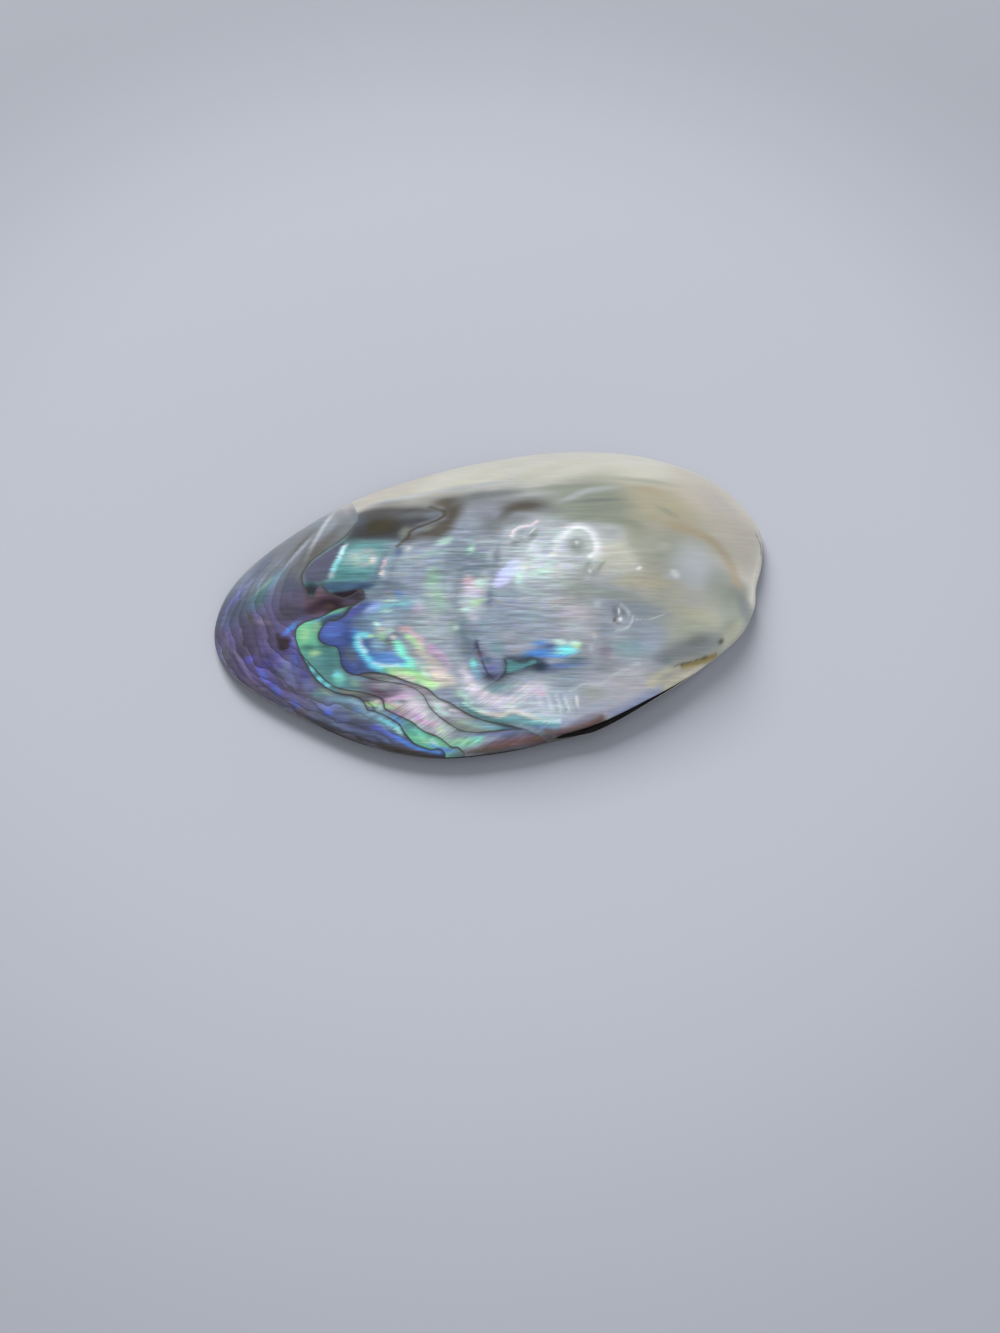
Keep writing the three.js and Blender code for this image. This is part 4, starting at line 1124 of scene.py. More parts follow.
# %% Strokes of the other layers
OUTER_STROKES = [
    # along the near edge: the rim's dark border, and below it a painted shadow where the edge stands off
    # the table
    ("charcoal", 1.8, 0.7, [(222, 671), (240, 692), (260, 702), (280, 711.5), (300, 719.5), (320, 727.5),
        (340, 734), (360, 740), (380, 745), (400, 750.5), (430, 756), (460, 758), (480, 757)]),
    ("bark", 4, 0.7, [(380, 747), (400, 752), (430, 757), (460, 758), (480, 757), (500, 754)]),
    ("ink", 3, 0.8, [(395, 753), (420, 758), (446, 760), (472, 759), (490, 757)]),
    ("heather", 1.2, 0.6, [(226, 634), (229, 646), (240, 660), (250, 676), (262, 690), (280, 702)]),
    ("grey", 1.4, 0.6, [(224, 660), (236, 678), (252, 694), (275, 706), (300, 718)]),
    ("lilac", 1.4, 0.6, [(222, 626), (230, 604), (244, 588), (262, 574)]),
    ("slate", 1.4, 0.5, [(228, 630), (234, 610), (248, 594)]),
    ("lilac", 1.4, 0.6, [(335, 724), (352, 730), (372, 733), (388, 741)]),
    ("blue", 1.4, 0.7, [(398, 738), (410, 745), (425, 750), (440, 752)]),
    ("umber", 2, 0.5, [(300, 712), (330, 729), (365, 741), (400, 750), (430, 755)]),
    ("slate", 1.4, 0.8, [(505, 724), (530, 728), (550, 734)]),
    # the dark band low along the near edge on the right, partly the rim's dark border and partly painted
    # shadow under it
    ("bark", 5, 0.9, [(490, 750), (510, 745), (530, 742), (560, 735), (600, 720)]),
]
THIRD_STROKES = [
    ("silver", 2.4, 0.4, [(405, 688), (420, 695), (428, 708), (438, 720)]),
]
STROKES = {
    "inner": INNER_STROKES, "outer": OUTER_STROKES, "fourth": [],
    "third": THIRD_STROKES, "second": [],
}
print("painted marks:", sum(len(p) for marks in (REGIONS, PATCHES, STROKES) for p in marks.values()))

# %% Laying on the paint
PATCH_EDGE = 1.5
STROKE_EDGE = 2.6
STROKE_REACH = 3
PIXEL = 0.27
BRIGHTEST = 0.95


def patch_axes(centre, length, width, tilt):
    """The patch's centre and two half axes on the plan, taken towards the crest's side."""
    centre = np.array(centre, float)
    a = math.radians(tilt)
    axes = []
    for way, half in (((math.cos(a), -math.sin(a)), length), ((math.sin(a), math.cos(a)), width)):
        axis = np.array(way) * half
        axes.append(axis if axis @ (CREST_PIXEL - centre) > 0 else -axis)
    middle, tip_a, tip_b = on_dome([centre, centre + axes[0], centre + axes[1]])
    return middle, np.stack([tip_a - middle, tip_b - middle], 1)


def patch_cover(plan, x, y, length, width, tilt):
    middle, axes = patch_axes((x, y), length, width, tilt)
    place = (plan - middle) @ np.linalg.inv(axes).T
    return np.exp(-(place ** 2).sum(1) ** PATCH_EDGE)


def line_cover(plan, pixels, reach, closed, cover_of):
    """What cover_of makes of the distance to a line, worked out only for points near it."""
    line = on_dome(catmull_rom(pixels, len(pixels) * FINE_STEPS, closed))
    near = ((plan > line.min(0) - reach) & (plan < line.max(0) + reach)).all(1)
    gap, _ = gap_to_line(plan[near], line, closed)
    if closed:
        gap = np.where(is_inside(plan[near], line), gap, -gap)
    cover = np.zeros(len(plan))
    cover[near] = cover_of(gap)
    return cover


def painted_wash(plan, layer):
    colour = broad_wash(plan, BROAD_TONES[layer])

    def lay_over(tone, cover):
        colour[:] += cover[:, None] * (seen_light(tone) - colour)

    for tone, soft, strength, pixels in REGIONS[layer]:
        cover = line_cover(plan, pixels, soft, True, lambda gap: smoothstep(gap, -soft, soft))
        lay_over(tone, strength * cover)
    for tone, x, y, length, width, tilt, strength in PATCHES[layer]:
        lay_over(tone, strength * patch_cover(plan, x, y, length, width, tilt))
    for tone, width, strength, pixels in STROKES[layer]:
        half = width * PIXEL
        cover = line_cover(plan, pixels, STROKE_REACH * half, False,
                           lambda gap: np.exp(-(gap / half) ** STROKE_EDGE))
        lay_over(tone, strength * cover)
    # Dividing by the lamps' light paints the wash lighter on slopes that get less light and darker on
    # slopes that get more, to make up for the shading.
    return np.minimum(colour / light_on(plan)[:, None], BRIGHTEST)


print("one pixel of the photograph is about", PIXEL, "mm on the near side")

# %% [markdown]
# ## The valve's outer skin
# A square grid is drawn out to a disc and then to the outline, which keeps the cells
# almost even and leaves no pole on the visible side. At half a millimetre a cell it
# carries the blisters, and the contour lines can be kept as values on its points.

# %% Outer skin
GRID_ALONG = 316
GRID_ACROSS = 230
HALF_LENGTH = 75.0
HALF_WIDTH = 46.5

bm = bmesh.new()
bearing_layer = bm.verts.layers.float.new("bearing")
under_layer = bm.verts.layers.float.new("under")
bmesh.ops.create_grid(bm, x_segments=GRID_ALONG, y_segments=GRID_ACROSS, size=1.0)


def square_to_plan(square):
    disc = np.stack([square[:, 0] * np.sqrt(1 - square[:, 1] ** 2 / 2),
                     square[:, 1] * np.sqrt(1 - square[:, 0] ** 2 / 2)], 1)
    rho = np.linalg.norm(disc, axis=1)
    bearing = np.arctan2(disc[:, 1] * HALF_WIDTH, disc[:, 0] * HALF_LENGTH)
    reach = (rho * rim_reach(bearing))[:, None]
    return CREST + reach * np.stack([np.cos(bearing), np.sin(bearing)], 1), bearing


square = np.array([v.co[:2] for v in bm.verts])
skin_plan, skin_bearing = square_to_plan(square)
skin_height = outer_height(skin_plan)
for v, (x, y), z, b in zip(bm.verts, draw_back(skin_plan), skin_height, skin_bearing):
    v.co = (x * MM, y * MM, z * MM)
    v[bearing_layer] = b
print("outer skin:", len(bm.verts), "points, top at", round(float(skin_height.max()), 2), "mm")

# %% [markdown]
# ## Lip and hollow
# The skin's open edge is extruded ring by ring: round the rim, across the flat lip and
# hinge plate with its teeth, and up into the hollow, where the last ring closes. The
# value "under" grows from 0 at the rim to 1 where the lip ends and 2 at the deepest point,
# and everything past the rim gets the second material.

# %% Lip sizes
TOOTH_TOP = 0.15
LONG_TOOTH = (-8, 4, 30, 38)
SHORT_TOOTH = (43, 47, 54, 59)
ROUND_ROWS = [(0.02, 1.25), (0.0, 0.9), (0.08, 0.5), (0.3, 0.17), (0.7, 0.0)]
RIM_SHARE = 0.1
LIP_CHAMFER = 0.7
GROOVE_SPARE = 0.1
PLATE_ROWS = 7
HOLLOW_SLOPE = (0, 0.4)
TOOTH_PLACE = 0.55
TOOTH_WIDTH = 0.2
HOLLOW_ROWS = 13


print("rings below the skin:", len(ROUND_ROWS) + PLATE_ROWS + HOLLOW_ROWS)


# %% Rings
def add_ring(bm, edges, place, under):
    """Extrudes an open edge loop and puts its new points where place says, by bearing."""
    grown = bmesh.ops.extrude_edge_only(bm, edges=edges)["geom"]
    points = [e for e in grown if isinstance(e, bmesh.types.BMVert)]
    plan, z = place(np.array([v[bearing_layer] for v in points]))
    for v, (x, y), height in zip(points, plan, z):
        v.co = (x * MM, y * MM, height * MM)
        v[under_layer] = under
    new = set(points)
    return points, [e for e in grown if isinstance(e, bmesh.types.BMEdge) and set(e.verts) <= new]


def inset(bearing, inward):
    x = rim_x(bearing) - out_x(bearing) * inward
    y = rim_y(bearing) - out_y(bearing) * inward
    return np.stack([x, y], 1)


def tooth_at(plan):
    return np.maximum(hinge_band(plan, LONG_TOOTH), hinge_band(plan, SHORT_TOOTH))


def round_row(inward, rise):
    """A ring round the rim; its rows above the middle leave room for the ligament's groove."""
    def place(bearing):
        grooved = groove_at(bearing)
        deep = GROOVE_DEPTH - GROOVE_SPARE if rise > 1 else inward
        z = lift_at(bearing) + rise + (GROOVE_FLOOR - rise) * grooved * (rise > 1)
        return inset(bearing, inward + (deep - inward) * grooved), z
    return place


def plate_row(share):
    def place(bearing):
        plate_here = plate_at(bearing)
        width = LIP + HINGE_PLATE * plate_here
        plan = inset(bearing, LIP_CHAMFER + (width - 2 * LIP_CHAMFER) * share)
        hollow = PLATE_HOLLOW * plate_here * smoothstep(share, *HOLLOW_SLOPE)
        ridge = math.exp(-((share - TOOTH_PLACE) / TOOTH_WIDTH) ** 2) * tooth_at(inset(bearing, 0.0))
        z = lift_at(bearing) + hollow + (np.minimum(hollow, TOOTH_TOP) - hollow) * ridge
        return plan, z
    return place


def hollow_row(rho):
    def place(bearing):
        plate_here = plate_at(bearing)
        edge = inset(bearing, LIP + HINGE_PLATE * plate_here)
        plan = CREST + (edge - CREST) * rho
        foot = lift_at(bearing) + LIP_CHAMFER + PLATE_HOLLOW * plate_here
        ceiling = dome(plan, np.full(len(bearing), rho), CEILING, foot)
        return plan, ceiling + rises(plan, MUSCLE_SCARS) * (1 - rho ** FINE_FADE)
    return place


# %% Close the valve
edges = [e for e in bm.edges if e.is_boundary]
for inward, rise in ROUND_ROWS:
    ring, edges = add_ring(bm, edges, round_row(inward, rise), RIM_SHARE)
for k in range(1, PLATE_ROWS + 1):
    share = k / PLATE_ROWS
    ring, edges = add_ring(bm, edges, plate_row(share), RIM_SHARE + (1 - RIM_SHARE) * share)
for k in range(HOLLOW_ROWS, 0, -1):
    rho = k / HOLLOW_ROWS
    ring, edges = add_ring(bm, edges, hollow_row(rho), 2 - rho)
bmesh.ops.pointmerge(bm, verts=ring, merge_co=(CREST[0] * MM, CREST[1] * MM, ring[0].co.z))
bmesh.ops.recalc_face_normals(bm, faces=bm.faces[:])
for face in bm.faces:
    face.material_index = int(min(v[under_layer] for v in face.verts) > 0)
open_edges = sum(e.is_boundary for e in bm.edges)
print("whole valve:", len(bm.verts), "points,", len(bm.faces), "faces, open edges:", open_edges)

# %% [markdown]
# ## Values kept on the skin
# The washes and distances are worked out once for every point and kept as attributes of
# the mesh. The brush of the polishing wheel ran nearly level in the photograph and broke
# the patches up into short level dashes, so each point looks its colour up a little to
# the side, by noise in thin rows. The rows are cuts of the dome by parallel slanted planes,
# as a belt leaves them. Where the wheel came from below it left a slanted hatch.

# %% Brush marks
BRUSH_TURN = math.radians(-11.8)
HATCH_TURN = math.radians(28)
BELT_TILT = math.radians(-32)
BRUSH_PLACES = [
    (0.05, 700, 580), (0.05, 640, 480), (0.1, 740, 560), (0.05, 660, 520), (0.3, 620, 590),
    (0.1, 560, 470), (0.1, 450, 485), (0.15, 390, 515), (0.2, 520, 508), (0.8, 370, 562),
    (1.0, 470, 570), (0.9, 540, 560), (0.8, 500, 625), (1.0, 390, 640), (0.9, 430, 665),
    (0.8, 560, 650), (0.8, 500, 690), (0.5, 600, 640), (0.2, 690, 640), (0.3, 600, 700),
    (0.2, 300, 560), (0.25, 240, 640), (0.3, 290, 690), (0.6, 330, 640), (0.7, 430, 725),
]
HATCH_PATCHES = [(0.9, 420, 722, 70, 16, -25), (0.8, 500, 690, 36, 18, 0), (0.8, 500, 740, 60, 12, 10)]
TERRACED = [(1.0, 255, 650, 55, 45, -50), (1.0, 330, 722, 75, 22, -22), (0.5, 260, 590, 60, 25, 45)]
BRUSH_BLUR = 4
NOISE_ROWS = 900
NOISE_COLUMNS = 60
ROW_LENGTH = 8.0
LEVEL_ROWS = [(1, 0.55, 1), (0.6, 1.3, 2)]
SLANTED_ROWS = [(1, 0.6, 3), (0.5, 1.4, 4)]
SMEAR = 0.35
SPREAD = 0.35
NUDGE = 0.2
STEEPEST = 0.4
print("places where the brush is given:", len(BRUSH_PLACES))


# %% Row noise


def belt_frame(turn):
    along = np.array((math.cos(turn), math.sin(turn)))
    return along, np.array((-along[1], along[0]))


def row_noise(plan, turn, row_height, seed):
    """Smooth noise from -1 to 1 in thin rows that a belt leaves along one direction."""
    table = np.random.default_rng(seed).uniform(-1, 1, (NOISE_ROWS, NOISE_COLUMNS))
    along, across = belt_frame(turn)
    level = plan @ across * math.cos(BELT_TILT) - outer_height(plan) * math.sin(BELT_TILT)
    u = plan @ along / ROW_LENGTH + NOISE_COLUMNS / 2
    v = level / row_height + NOISE_ROWS / 2
    i, j = v.astype(int), u.astype(int)
    f, g = smoothstep(v - i, 0, 1), smoothstep(u - j, 0, 1)
    low = table[i, j] * (1 - g) + table[i, j + 1] * g
    high = table[i + 1, j] * (1 - g) + table[i + 1, j + 1] * g
    return low * (1 - f) + high * f


def row_direction(plan, turn):
    """The way one row runs over the plan, which bends where the dome slopes."""
    along, across = belt_frame(turn)
    here = outer_height(plan)
    slope_along = (outer_height(plan + NUDGE * along) - here) / NUDGE
    slope_across = (outer_height(plan + NUDGE * across) - here) / NUDGE
    rise = math.sin(-BELT_TILT)
    drift = -rise * slope_along / np.maximum(math.cos(BELT_TILT) + rise * slope_across, STEEPEST)
    return along + drift[:, None] * across


def brush_strength(plan):
    total, weights = np.zeros(len(plan)), np.zeros(len(plan))
    places = on_dome([(x, y) for _, x, y in BRUSH_PLACES])
    for (value, _, _), place in zip(BRUSH_PLACES, places):
        weight = (((plan - place) ** 2).sum(1) + BRUSH_BLUR ** 2) ** -2.0
        total += weight * value
        weights += weight
    return total / weights


def rows(plan, turn, items):
    """Several row noises on top of each other: (share, row height in mm, seed) for each."""
    return sum(share * row_noise(plan, turn, height, seed) for share, height, seed in items)


def covered(plan, patches):
    """How far a few soft patches cover each point, from 0 to 1."""
    bare = np.ones(len(plan))
    for strength, *patch in patches:
        bare *= 1 - strength * patch_cover(plan, *patch)
    return 1 - bare


print("brush at the crest:", round(float(brush_strength(CREST[None])[0]), 2))


# %% Attributes
EVEN_TAPER = 0.5
BRIGHT_TAPER = 0.35


def keep_value(mesh, name, values):
    attribute = mesh.attributes.new(name, "FLOAT", "POINT")
    attribute.data.foreach_set("value", np.asarray(values, np.float32))


def keep_colour(mesh, name, colours):
    attribute = mesh.attributes.new(name, "FLOAT_COLOR", "POINT")
    flat = np.concatenate([colours, np.ones((len(colours), 1))], 1)
    attribute.data.foreach_set("color", flat.astype(np.float32).ravel())


def paint_valve(mesh):
    points = np.empty(len(mesh.vertices) * 3)
    mesh.vertices.foreach_get("co", points)
    plan = points.reshape(-1, 3)[:, :2] / MM
    brush, hatch = brush_strength(plan), covered(plan, HATCH_PATCHES)
    level, slanted = rows(plan, BRUSH_TURN, LEVEL_ROWS), rows(plan, HATCH_TURN, SLANTED_ROWS)
    level_step = (brush * (1 - hatch))[:, None] * row_direction(plan, BRUSH_TURN)
    slanted_step = hatch[:, None] * row_direction(plan, HATCH_TURN)
    middle = plan + SMEAR * (level[:, None] * level_step + slanted[:, None] * slanted_step)
    for layer in PATCHES:
        for side, way in (("_left", -SPREAD), ("_right", SPREAD)):
            moved = middle + way * (level_step + slanted_step)
            keep_colour(mesh, layer + side, painted_wash(moved, layer))
    for layer, pixels in LAYER_EDGES.items():
        keep_value(mesh, layer + "_gap", layer_gap(plan, pixels))
    keep_value(mesh, "growth_gap", fine_gap(plan, GROWTH_LINES, EVEN_TAPER))
    keep_value(mesh, "dark_gap", fine_gap(plan, DARK_LINES, EVEN_TAPER))
    keep_value(mesh, "scratch_and_glint_gap", fine_gap(plan, SCRATCHES_AND_GLINTS, BRIGHT_TAPER))
    rim_gap = rim_reach(bearing_of(plan)) - np.linalg.norm(plan - CREST, axis=1)
    keep_value(mesh, "rim_gap", rim_gap)
    keep_value(mesh, "terraced", covered(plan, TERRACED))
    keep_value(mesh, "brush", brush)
    keep_value(mesh, "hatch", hatch)
    keep_value(mesh, "faint", covered(plan, FAINT_EDGES))


# %% [markdown]
# ## Building materials
# A few helpers keep the node trees short to write. Effects that several finishes share
# are node groups with named inputs and outputs: the brushed streaks of the polish, the
# play of colour in nacre, the dark line where a layer has been cut through, and the
# stepped growth bands beside the rim.

# %% Node helpers
def add_node(tree, kind, sockets=(), **settings):
    node = tree.nodes.new(kind)
    for name, value in settings.items():
        setattr(node, name, value)
    for key, value in dict(sockets).items():
        if isinstance(value, bpy.types.NodeSocket):
            tree.links.new(value, node.inputs[key])
        else:
            node.inputs[key].default_value = value
    return node


def calc(tree, operation, a, b=0.0, c=0.0):
    return add_node(tree, "ShaderNodeMath", {0: a, 1: b, 2: c}, operation=operation).outputs[0]


def blend(tree, share, a, b, mode="MIX"):
    node = add_node(tree, "ShaderNodeMix", data_type="RGBA", blend_type=mode)
    for index, value in ((0, share), (6, a), (7, b)):
        if isinstance(value, bpy.types.NodeSocket):
            tree.links.new(value, node.inputs[index])
        else:
            node.inputs[index].default_value = value if index == 0 else (*value, 1)
    return node.outputs[2]


def ramp_between(tree, value, low, high, to_low=0.0, to_high=1.0):
    node = add_node(tree, "ShaderNodeMapRange", {0: value, 1: low, 2: high, 3: to_low, 4: to_high},
                    interpolation_type="SMOOTHSTEP")
    return node.outputs[0]


def times(tree, a, b):
    return calc(tree, "MULTIPLY", a, b)


def kept(tree, name, output="Fac"):
    """The value, or the colour, kept on the mesh under this name."""
    return add_node(tree, "ShaderNodeAttribute", attribute_name=name).outputs[output]


def colour_ramp(tree, value, stops):
    ramp = add_node(tree, "ShaderNodeValToRGB", {0: value})
    points = ramp.color_ramp.elements
    while len(points) < len(stops):
        points.new(0.5)
    for point, (place, colour) in zip(points, stops):
        point.position = place
        point.color = (*colour, 1)
    return ramp.outputs[0]


# %% Group and material helpers
FLOAT = "NodeSocketFloat"
COLOUR = "NodeSocketColor"


def new_group(name, inputs, outputs):
    tree = bpy.data.node_groups.new(name, "ShaderNodeTree")
    for label, kind, value in inputs:
        socket = tree.interface.new_socket(label, in_out="INPUT", socket_type=kind)
        socket.default_value = value
    for label, kind in outputs:
        tree.interface.new_socket(label, in_out="OUTPUT", socket_type=kind)
    return tree, tree.nodes.new("NodeGroupInput").outputs, tree.nodes.new("NodeGroupOutput").inputs


def use_group(tree, group, **sockets):
    node = tree.nodes.new("ShaderNodeGroup")
    node.node_tree = group
    for label, value in sockets.items():
        socket = node.inputs[label.replace("_", " ")]
        if isinstance(value, bpy.types.NodeSocket):
            tree.links.new(value, socket)
        else:
            socket.default_value = value
    return node.outputs


def new_material(name):
    material = bpy.data.materials.new(name)
    material.use_nodes = True
    return material, material.node_tree, material.node_tree.nodes["Principled BSDF"]


print("helpers ready")

# %% Brushed streaks
STREAK_KINDS = [("Coarse", 0.45), ("Fine", 1.6), ("Slow", 0.12)]


def make_streaks():
    """Long thin noise along one direction, coarse and fine, on Object coordinates."""
    tree, given, made = new_group(
        "brushed streaks",
        [("Turn", FLOAT, 0.0), ("Rows per metre", FLOAT, 1500.0), ("Stretch", FLOAT, 30.0)],
        [("Coarse", FLOAT), ("Fine", FLOAT), ("Slow", FLOAT)])
    place = add_node(tree, "ShaderNodeTexCoord").outputs["Object"]
    backward = times(tree, given["Turn"], -1.0)
    turned = add_node(tree, "ShaderNodeVectorRotate", {"Vector": place, "Angle": backward},
                      rotation_type="Z_AXIS").outputs[0]
    turned = add_node(tree, "ShaderNodeVectorRotate", {"Vector": turned, "Angle": BELT_TILT},
                      rotation_type="X_AXIS").outputs[0]
    along = calc(tree, "DIVIDE", given["Rows per metre"], given["Stretch"])
    for label, factor in STREAK_KINDS:
        across = times(tree, given["Rows per metre"], factor)
        scale = add_node(tree, "ShaderNodeCombineXYZ", {0: along, 1: across, 2: 0.0}).outputs[0]
        scaled = add_node(tree, "ShaderNodeVectorMath", {0: turned, 1: scale}, operation="MULTIPLY")
        sockets = {"Vector": scaled.outputs[0], "Scale": 1.0, "Detail": 2.0, "Roughness": 0.6}
        noise = add_node(tree, "ShaderNodeTexNoise", sockets)
        tree.links.new(noise.outputs["Fac"], made[label])
    return tree


streaks = make_streaks()
print("shared effect:", streaks.name)

# %% Pearl play
FILM_TINTS = [
    (0.28, (1.0, 0.86, 1.05)), (0.42, (0.84, 1.04, 1.0)), (0.5, (1.0, 1.0, 1.0)),
    (0.58, (0.9, 0.97, 1.16)), (0.66, (1.1, 1.06, 0.9)), (0.75, (1.1, 0.9, 1.0)),
]


def make_pearl_play():
    """Shifts a colour a little towards rose, green and blue, as thin films do."""
    tree, given, made = new_group(
        "pearl play",
        [("Colour", COLOUR, (0.5, 0.5, 0.5, 1)), ("Phase", FLOAT, 0.5), ("Amount", FLOAT, 0.2)],
        [("Colour", COLOUR)])
    tint = colour_ramp(tree, given["Phase"], FILM_TINTS)
    shifted = blend(tree, 1.0, given["Colour"], tint, "MULTIPLY")
    tree.links.new(blend(tree, given["Amount"], given["Colour"], shifted), made["Colour"])
    return tree


pearl_play = make_pearl_play()
print("shared effect:", pearl_play.name)

# %% Cut edge
EDGE_SHIFT = 0.3
EDGE_SWELL = (0.5, 1.3)
EDGE_BLEND = 0.15
LINE_SHARES = (0.1, 1.8)


def noise_of(tree, place, scale, detail):
    sockets = {"Vector": place, "Scale": scale, "Detail": detail}
    return add_node(tree, "ShaderNodeTexNoise", sockets).outputs["Fac"]


def make_cut_edge():
    """From a distance in mm: which side of the edge it is, the dark line and its soft halo of painted
    shade.
    """
    tree, given, made = new_group(
        "cut edge",
        [("Gap", FLOAT, 0.0), ("Width", FLOAT, 0.3), ("Halo", FLOAT, 1.2), ("Lean", FLOAT, 1.0)],
        [("Inside", FLOAT), ("Line", FLOAT), ("Shade", FLOAT)])
    place = add_node(tree, "ShaderNodeTexCoord").outputs["Object"]
    shift, swell = noise_of(tree, place, 420.0, 3.0), noise_of(tree, place, 190.0, 2.0)
    gap = calc(tree, "MULTIPLY_ADD", calc(tree, "SUBTRACT", shift, 0.5), EDGE_SHIFT, given["Gap"])
    outward = times(tree, gap, -1.0)
    away = calc(tree, "MAXIMUM", times(tree, gap, given["Lean"]), outward)
    width = times(tree, given["Width"], ramp_between(tree, swell, 0.35, 0.65, *EDGE_SWELL))
    thin, thick = (times(tree, width, share) for share in LINE_SHARES)
    tree.links.new(ramp_between(tree, gap, -EDGE_BLEND, EDGE_BLEND), made["Inside"])
    tree.links.new(ramp_between(tree, away, thin, thick, 1.0, 0.0), made["Line"])
    tree.links.new(ramp_between(tree, away, 0.0, given["Halo"], 1.0, 0.0), made["Shade"])
    return tree


cut_edge = make_cut_edge()
print("shared effect:", cut_edge.name)

# %% Growth terraces
TERRACE_WARP = 9.0
TERRACE_LINE = 0.16
TERRACE_LIGHT = (0.78, 1.25)
MOOD_SPREAD = 2.6
EVEN_CHANCE = 0.618
TERRACE_TINTS = [
    (0.1, (0.72, 0.72, 0.78)), (0.45, (0.95, 0.92, 0.95)),
    (0.7, (1.1, 1.1, 1.35)), (0.95, (1.25, 1.25, 1.75)),
]


def make_growth_terraces():
    """Wavy lines beside the rim, spaced in mm, with a tint that steps from band to band, and each band
    painted darker beside its line and lighter towards the next, as shade and light on a step.
    """
    tree, given, made = new_group(
        "growth terraces",
        [("Rim gap", FLOAT, 5.0), ("Spacing", FLOAT, 2.5)],
        [("Line", FLOAT), ("Tint", COLOUR)])
    place = add_node(tree, "ShaderNodeTexCoord").outputs["Object"]
    warp, cells = noise_of(tree, place, 75.0, 3.0), noise_of(tree, place, 130.0, 2.0)
    warped = calc(tree, "MULTIPLY_ADD", warp, TERRACE_WARP, given["Rim gap"])
    share = calc(tree, "DIVIDE", warped, given["Spacing"])
    rise = calc(tree, "FRACT", share)
    band = calc(tree, "FLOOR", share)
    line = ramp_between(tree, rise, 0.0, TERRACE_LINE, 1.0, 0.0)
    weight = ramp_between(tree, cells, 0.38, 0.58, 0.35, 0.95)
    tree.links.new(times(tree, line, weight), made["Line"])
    chance = calc(tree, "FRACT", times(tree, band, EVEN_CHANCE))
    mood = calc(tree, "MULTIPLY_ADD", calc(tree, "SUBTRACT", cells, 0.5), MOOD_SPREAD, chance)
    bright = ramp_between(tree, rise, 0.1, 0.9, *TERRACE_LIGHT)
    tint = colour_ramp(tree, mood, TERRACE_TINTS)
    grey = add_node(tree, "ShaderNodeCombineColor", {0: bright, 1: bright, 2: bright}).outputs[0]
    tree.links.new(blend(tree, 1.0, tint, grey, "MULTIPLY"), made["Tint"])
    return tree


growth_terraces = make_growth_terraces()
print("shared effect:", growth_terraces.name)

# %% [markdown]
# ## The polished nacre
# The material stacks the five washes by the side of each layer edge a point is on, draws
# the dark edge lines with a brown halo of painted shade beside them, and breaks the surface
# up with streaks. The streaks act three ways: they lighten and darken, the widest of them as
# painted sheen, they shift the colour of the film, and they roughen and scratch the gloss.
# Bump only carries what is finer than the mesh. The growing end keeps its stepped bands,
# which the wheel didn't take off, each painted darker beside its line as shade on a step.

# %% Stack of layers
EDGE_TONE = (0.045, 0.038, 0.034)
EDGE_SHADE_TONE = (0.50, 0.46, 0.42)
EDGE_LINES = {"fourth": (0.22, 0.9), "third": (0.18, 0.8), "second": (0.17, 0.8), "inner": (0.27, 1.3)}
EDGE_LEAN = 2.2
FINE_LINES = [("growth_gap", 0.17, 0.6), ("dark_gap", 0.22, 0.8)]
FINE_SHADE = 0.6


def brushed_wash(tree, layer, brushed):
    """One layer's wash, read to the left or right of the point by the fine streaks."""
    left, right = (kept(tree, layer + side, "Color") for side in ("_left", "_right"))
    return blend(tree, brushed, left, right)


def stacked_layers(tree, brushed):
    """The washes cut by the edges, the lines, their shade, and where the outer layer is gone."""
    colour = brushed_wash(tree, "outer", brushed)
    line = shade = polished_off = None
    for layer, (width, halo) in EDGE_LINES.items():
        gap = kept(tree, layer + "_gap")
        edge = use_group(tree, cut_edge, Gap=gap, Width=width, Halo=halo, Lean=EDGE_LEAN)
        colour = blend(tree, edge["Inside"], colour, brushed_wash(tree, layer, brushed))
        polished_off = edge["Inside"] if polished_off is None else polished_off
        line = edge["Line"] if line is None else calc(tree, "MAXIMUM", line, edge["Line"])
        shade = edge["Shade"] if shade is None else calc(tree, "MAXIMUM", shade, edge["Shade"])
    clear = calc(tree, "SUBTRACT", 1.0, kept(tree, "faint"))
    line, shade = times(tree, line, clear), times(tree, shade, clear)
    for name, width, weight in FINE_LINES:
        edge = use_group(tree, cut_edge, Gap=kept(tree, name), Width=width, Halo=0.8)
        line = calc(tree, "MAXIMUM", line, times(tree, edge["Line"], weight))
        shade = calc(tree, "MAXIMUM", shade, times(tree, edge["Shade"], FINE_SHADE))
    return colour, line, shade, polished_off


print("layers on top of each other:", 1 + len(EDGE_LINES))

# %% Bands and grain on the nacre
TERRACE_STRENGTH = 0.9
FILM_AMOUNT = (0.5, 0.06)
GRAIN_AMOUNT = (0.8, 0.03)
COARSE_LIGHT = (0.7, 1.32)
FINE_LIGHT = (0.8, 1.2)
WIDE_SHEEN = (0.86, 1.16)


def with_terraces(tree, colour, line, polished_off):
    """Steps the outer layer's colour from band to band and adds the bands' lines."""
    terraces = use_group(tree, growth_terraces, Rim_gap=kept(tree, "rim_gap"), Spacing=2.3)
    unpolished = calc(tree, "SUBTRACT", 1.0, polished_off)
    outside = times(tree, unpolished, kept(tree, "terraced"))
    stepped = blend(tree, 1.0, colour, terraces["Tint"], "MULTIPLY")
    colour = blend(tree, times(tree, outside, TERRACE_STRENGTH), colour, stepped)
    return colour, calc(tree, "MAXIMUM", line, times(tree, terraces["Line"], outside))


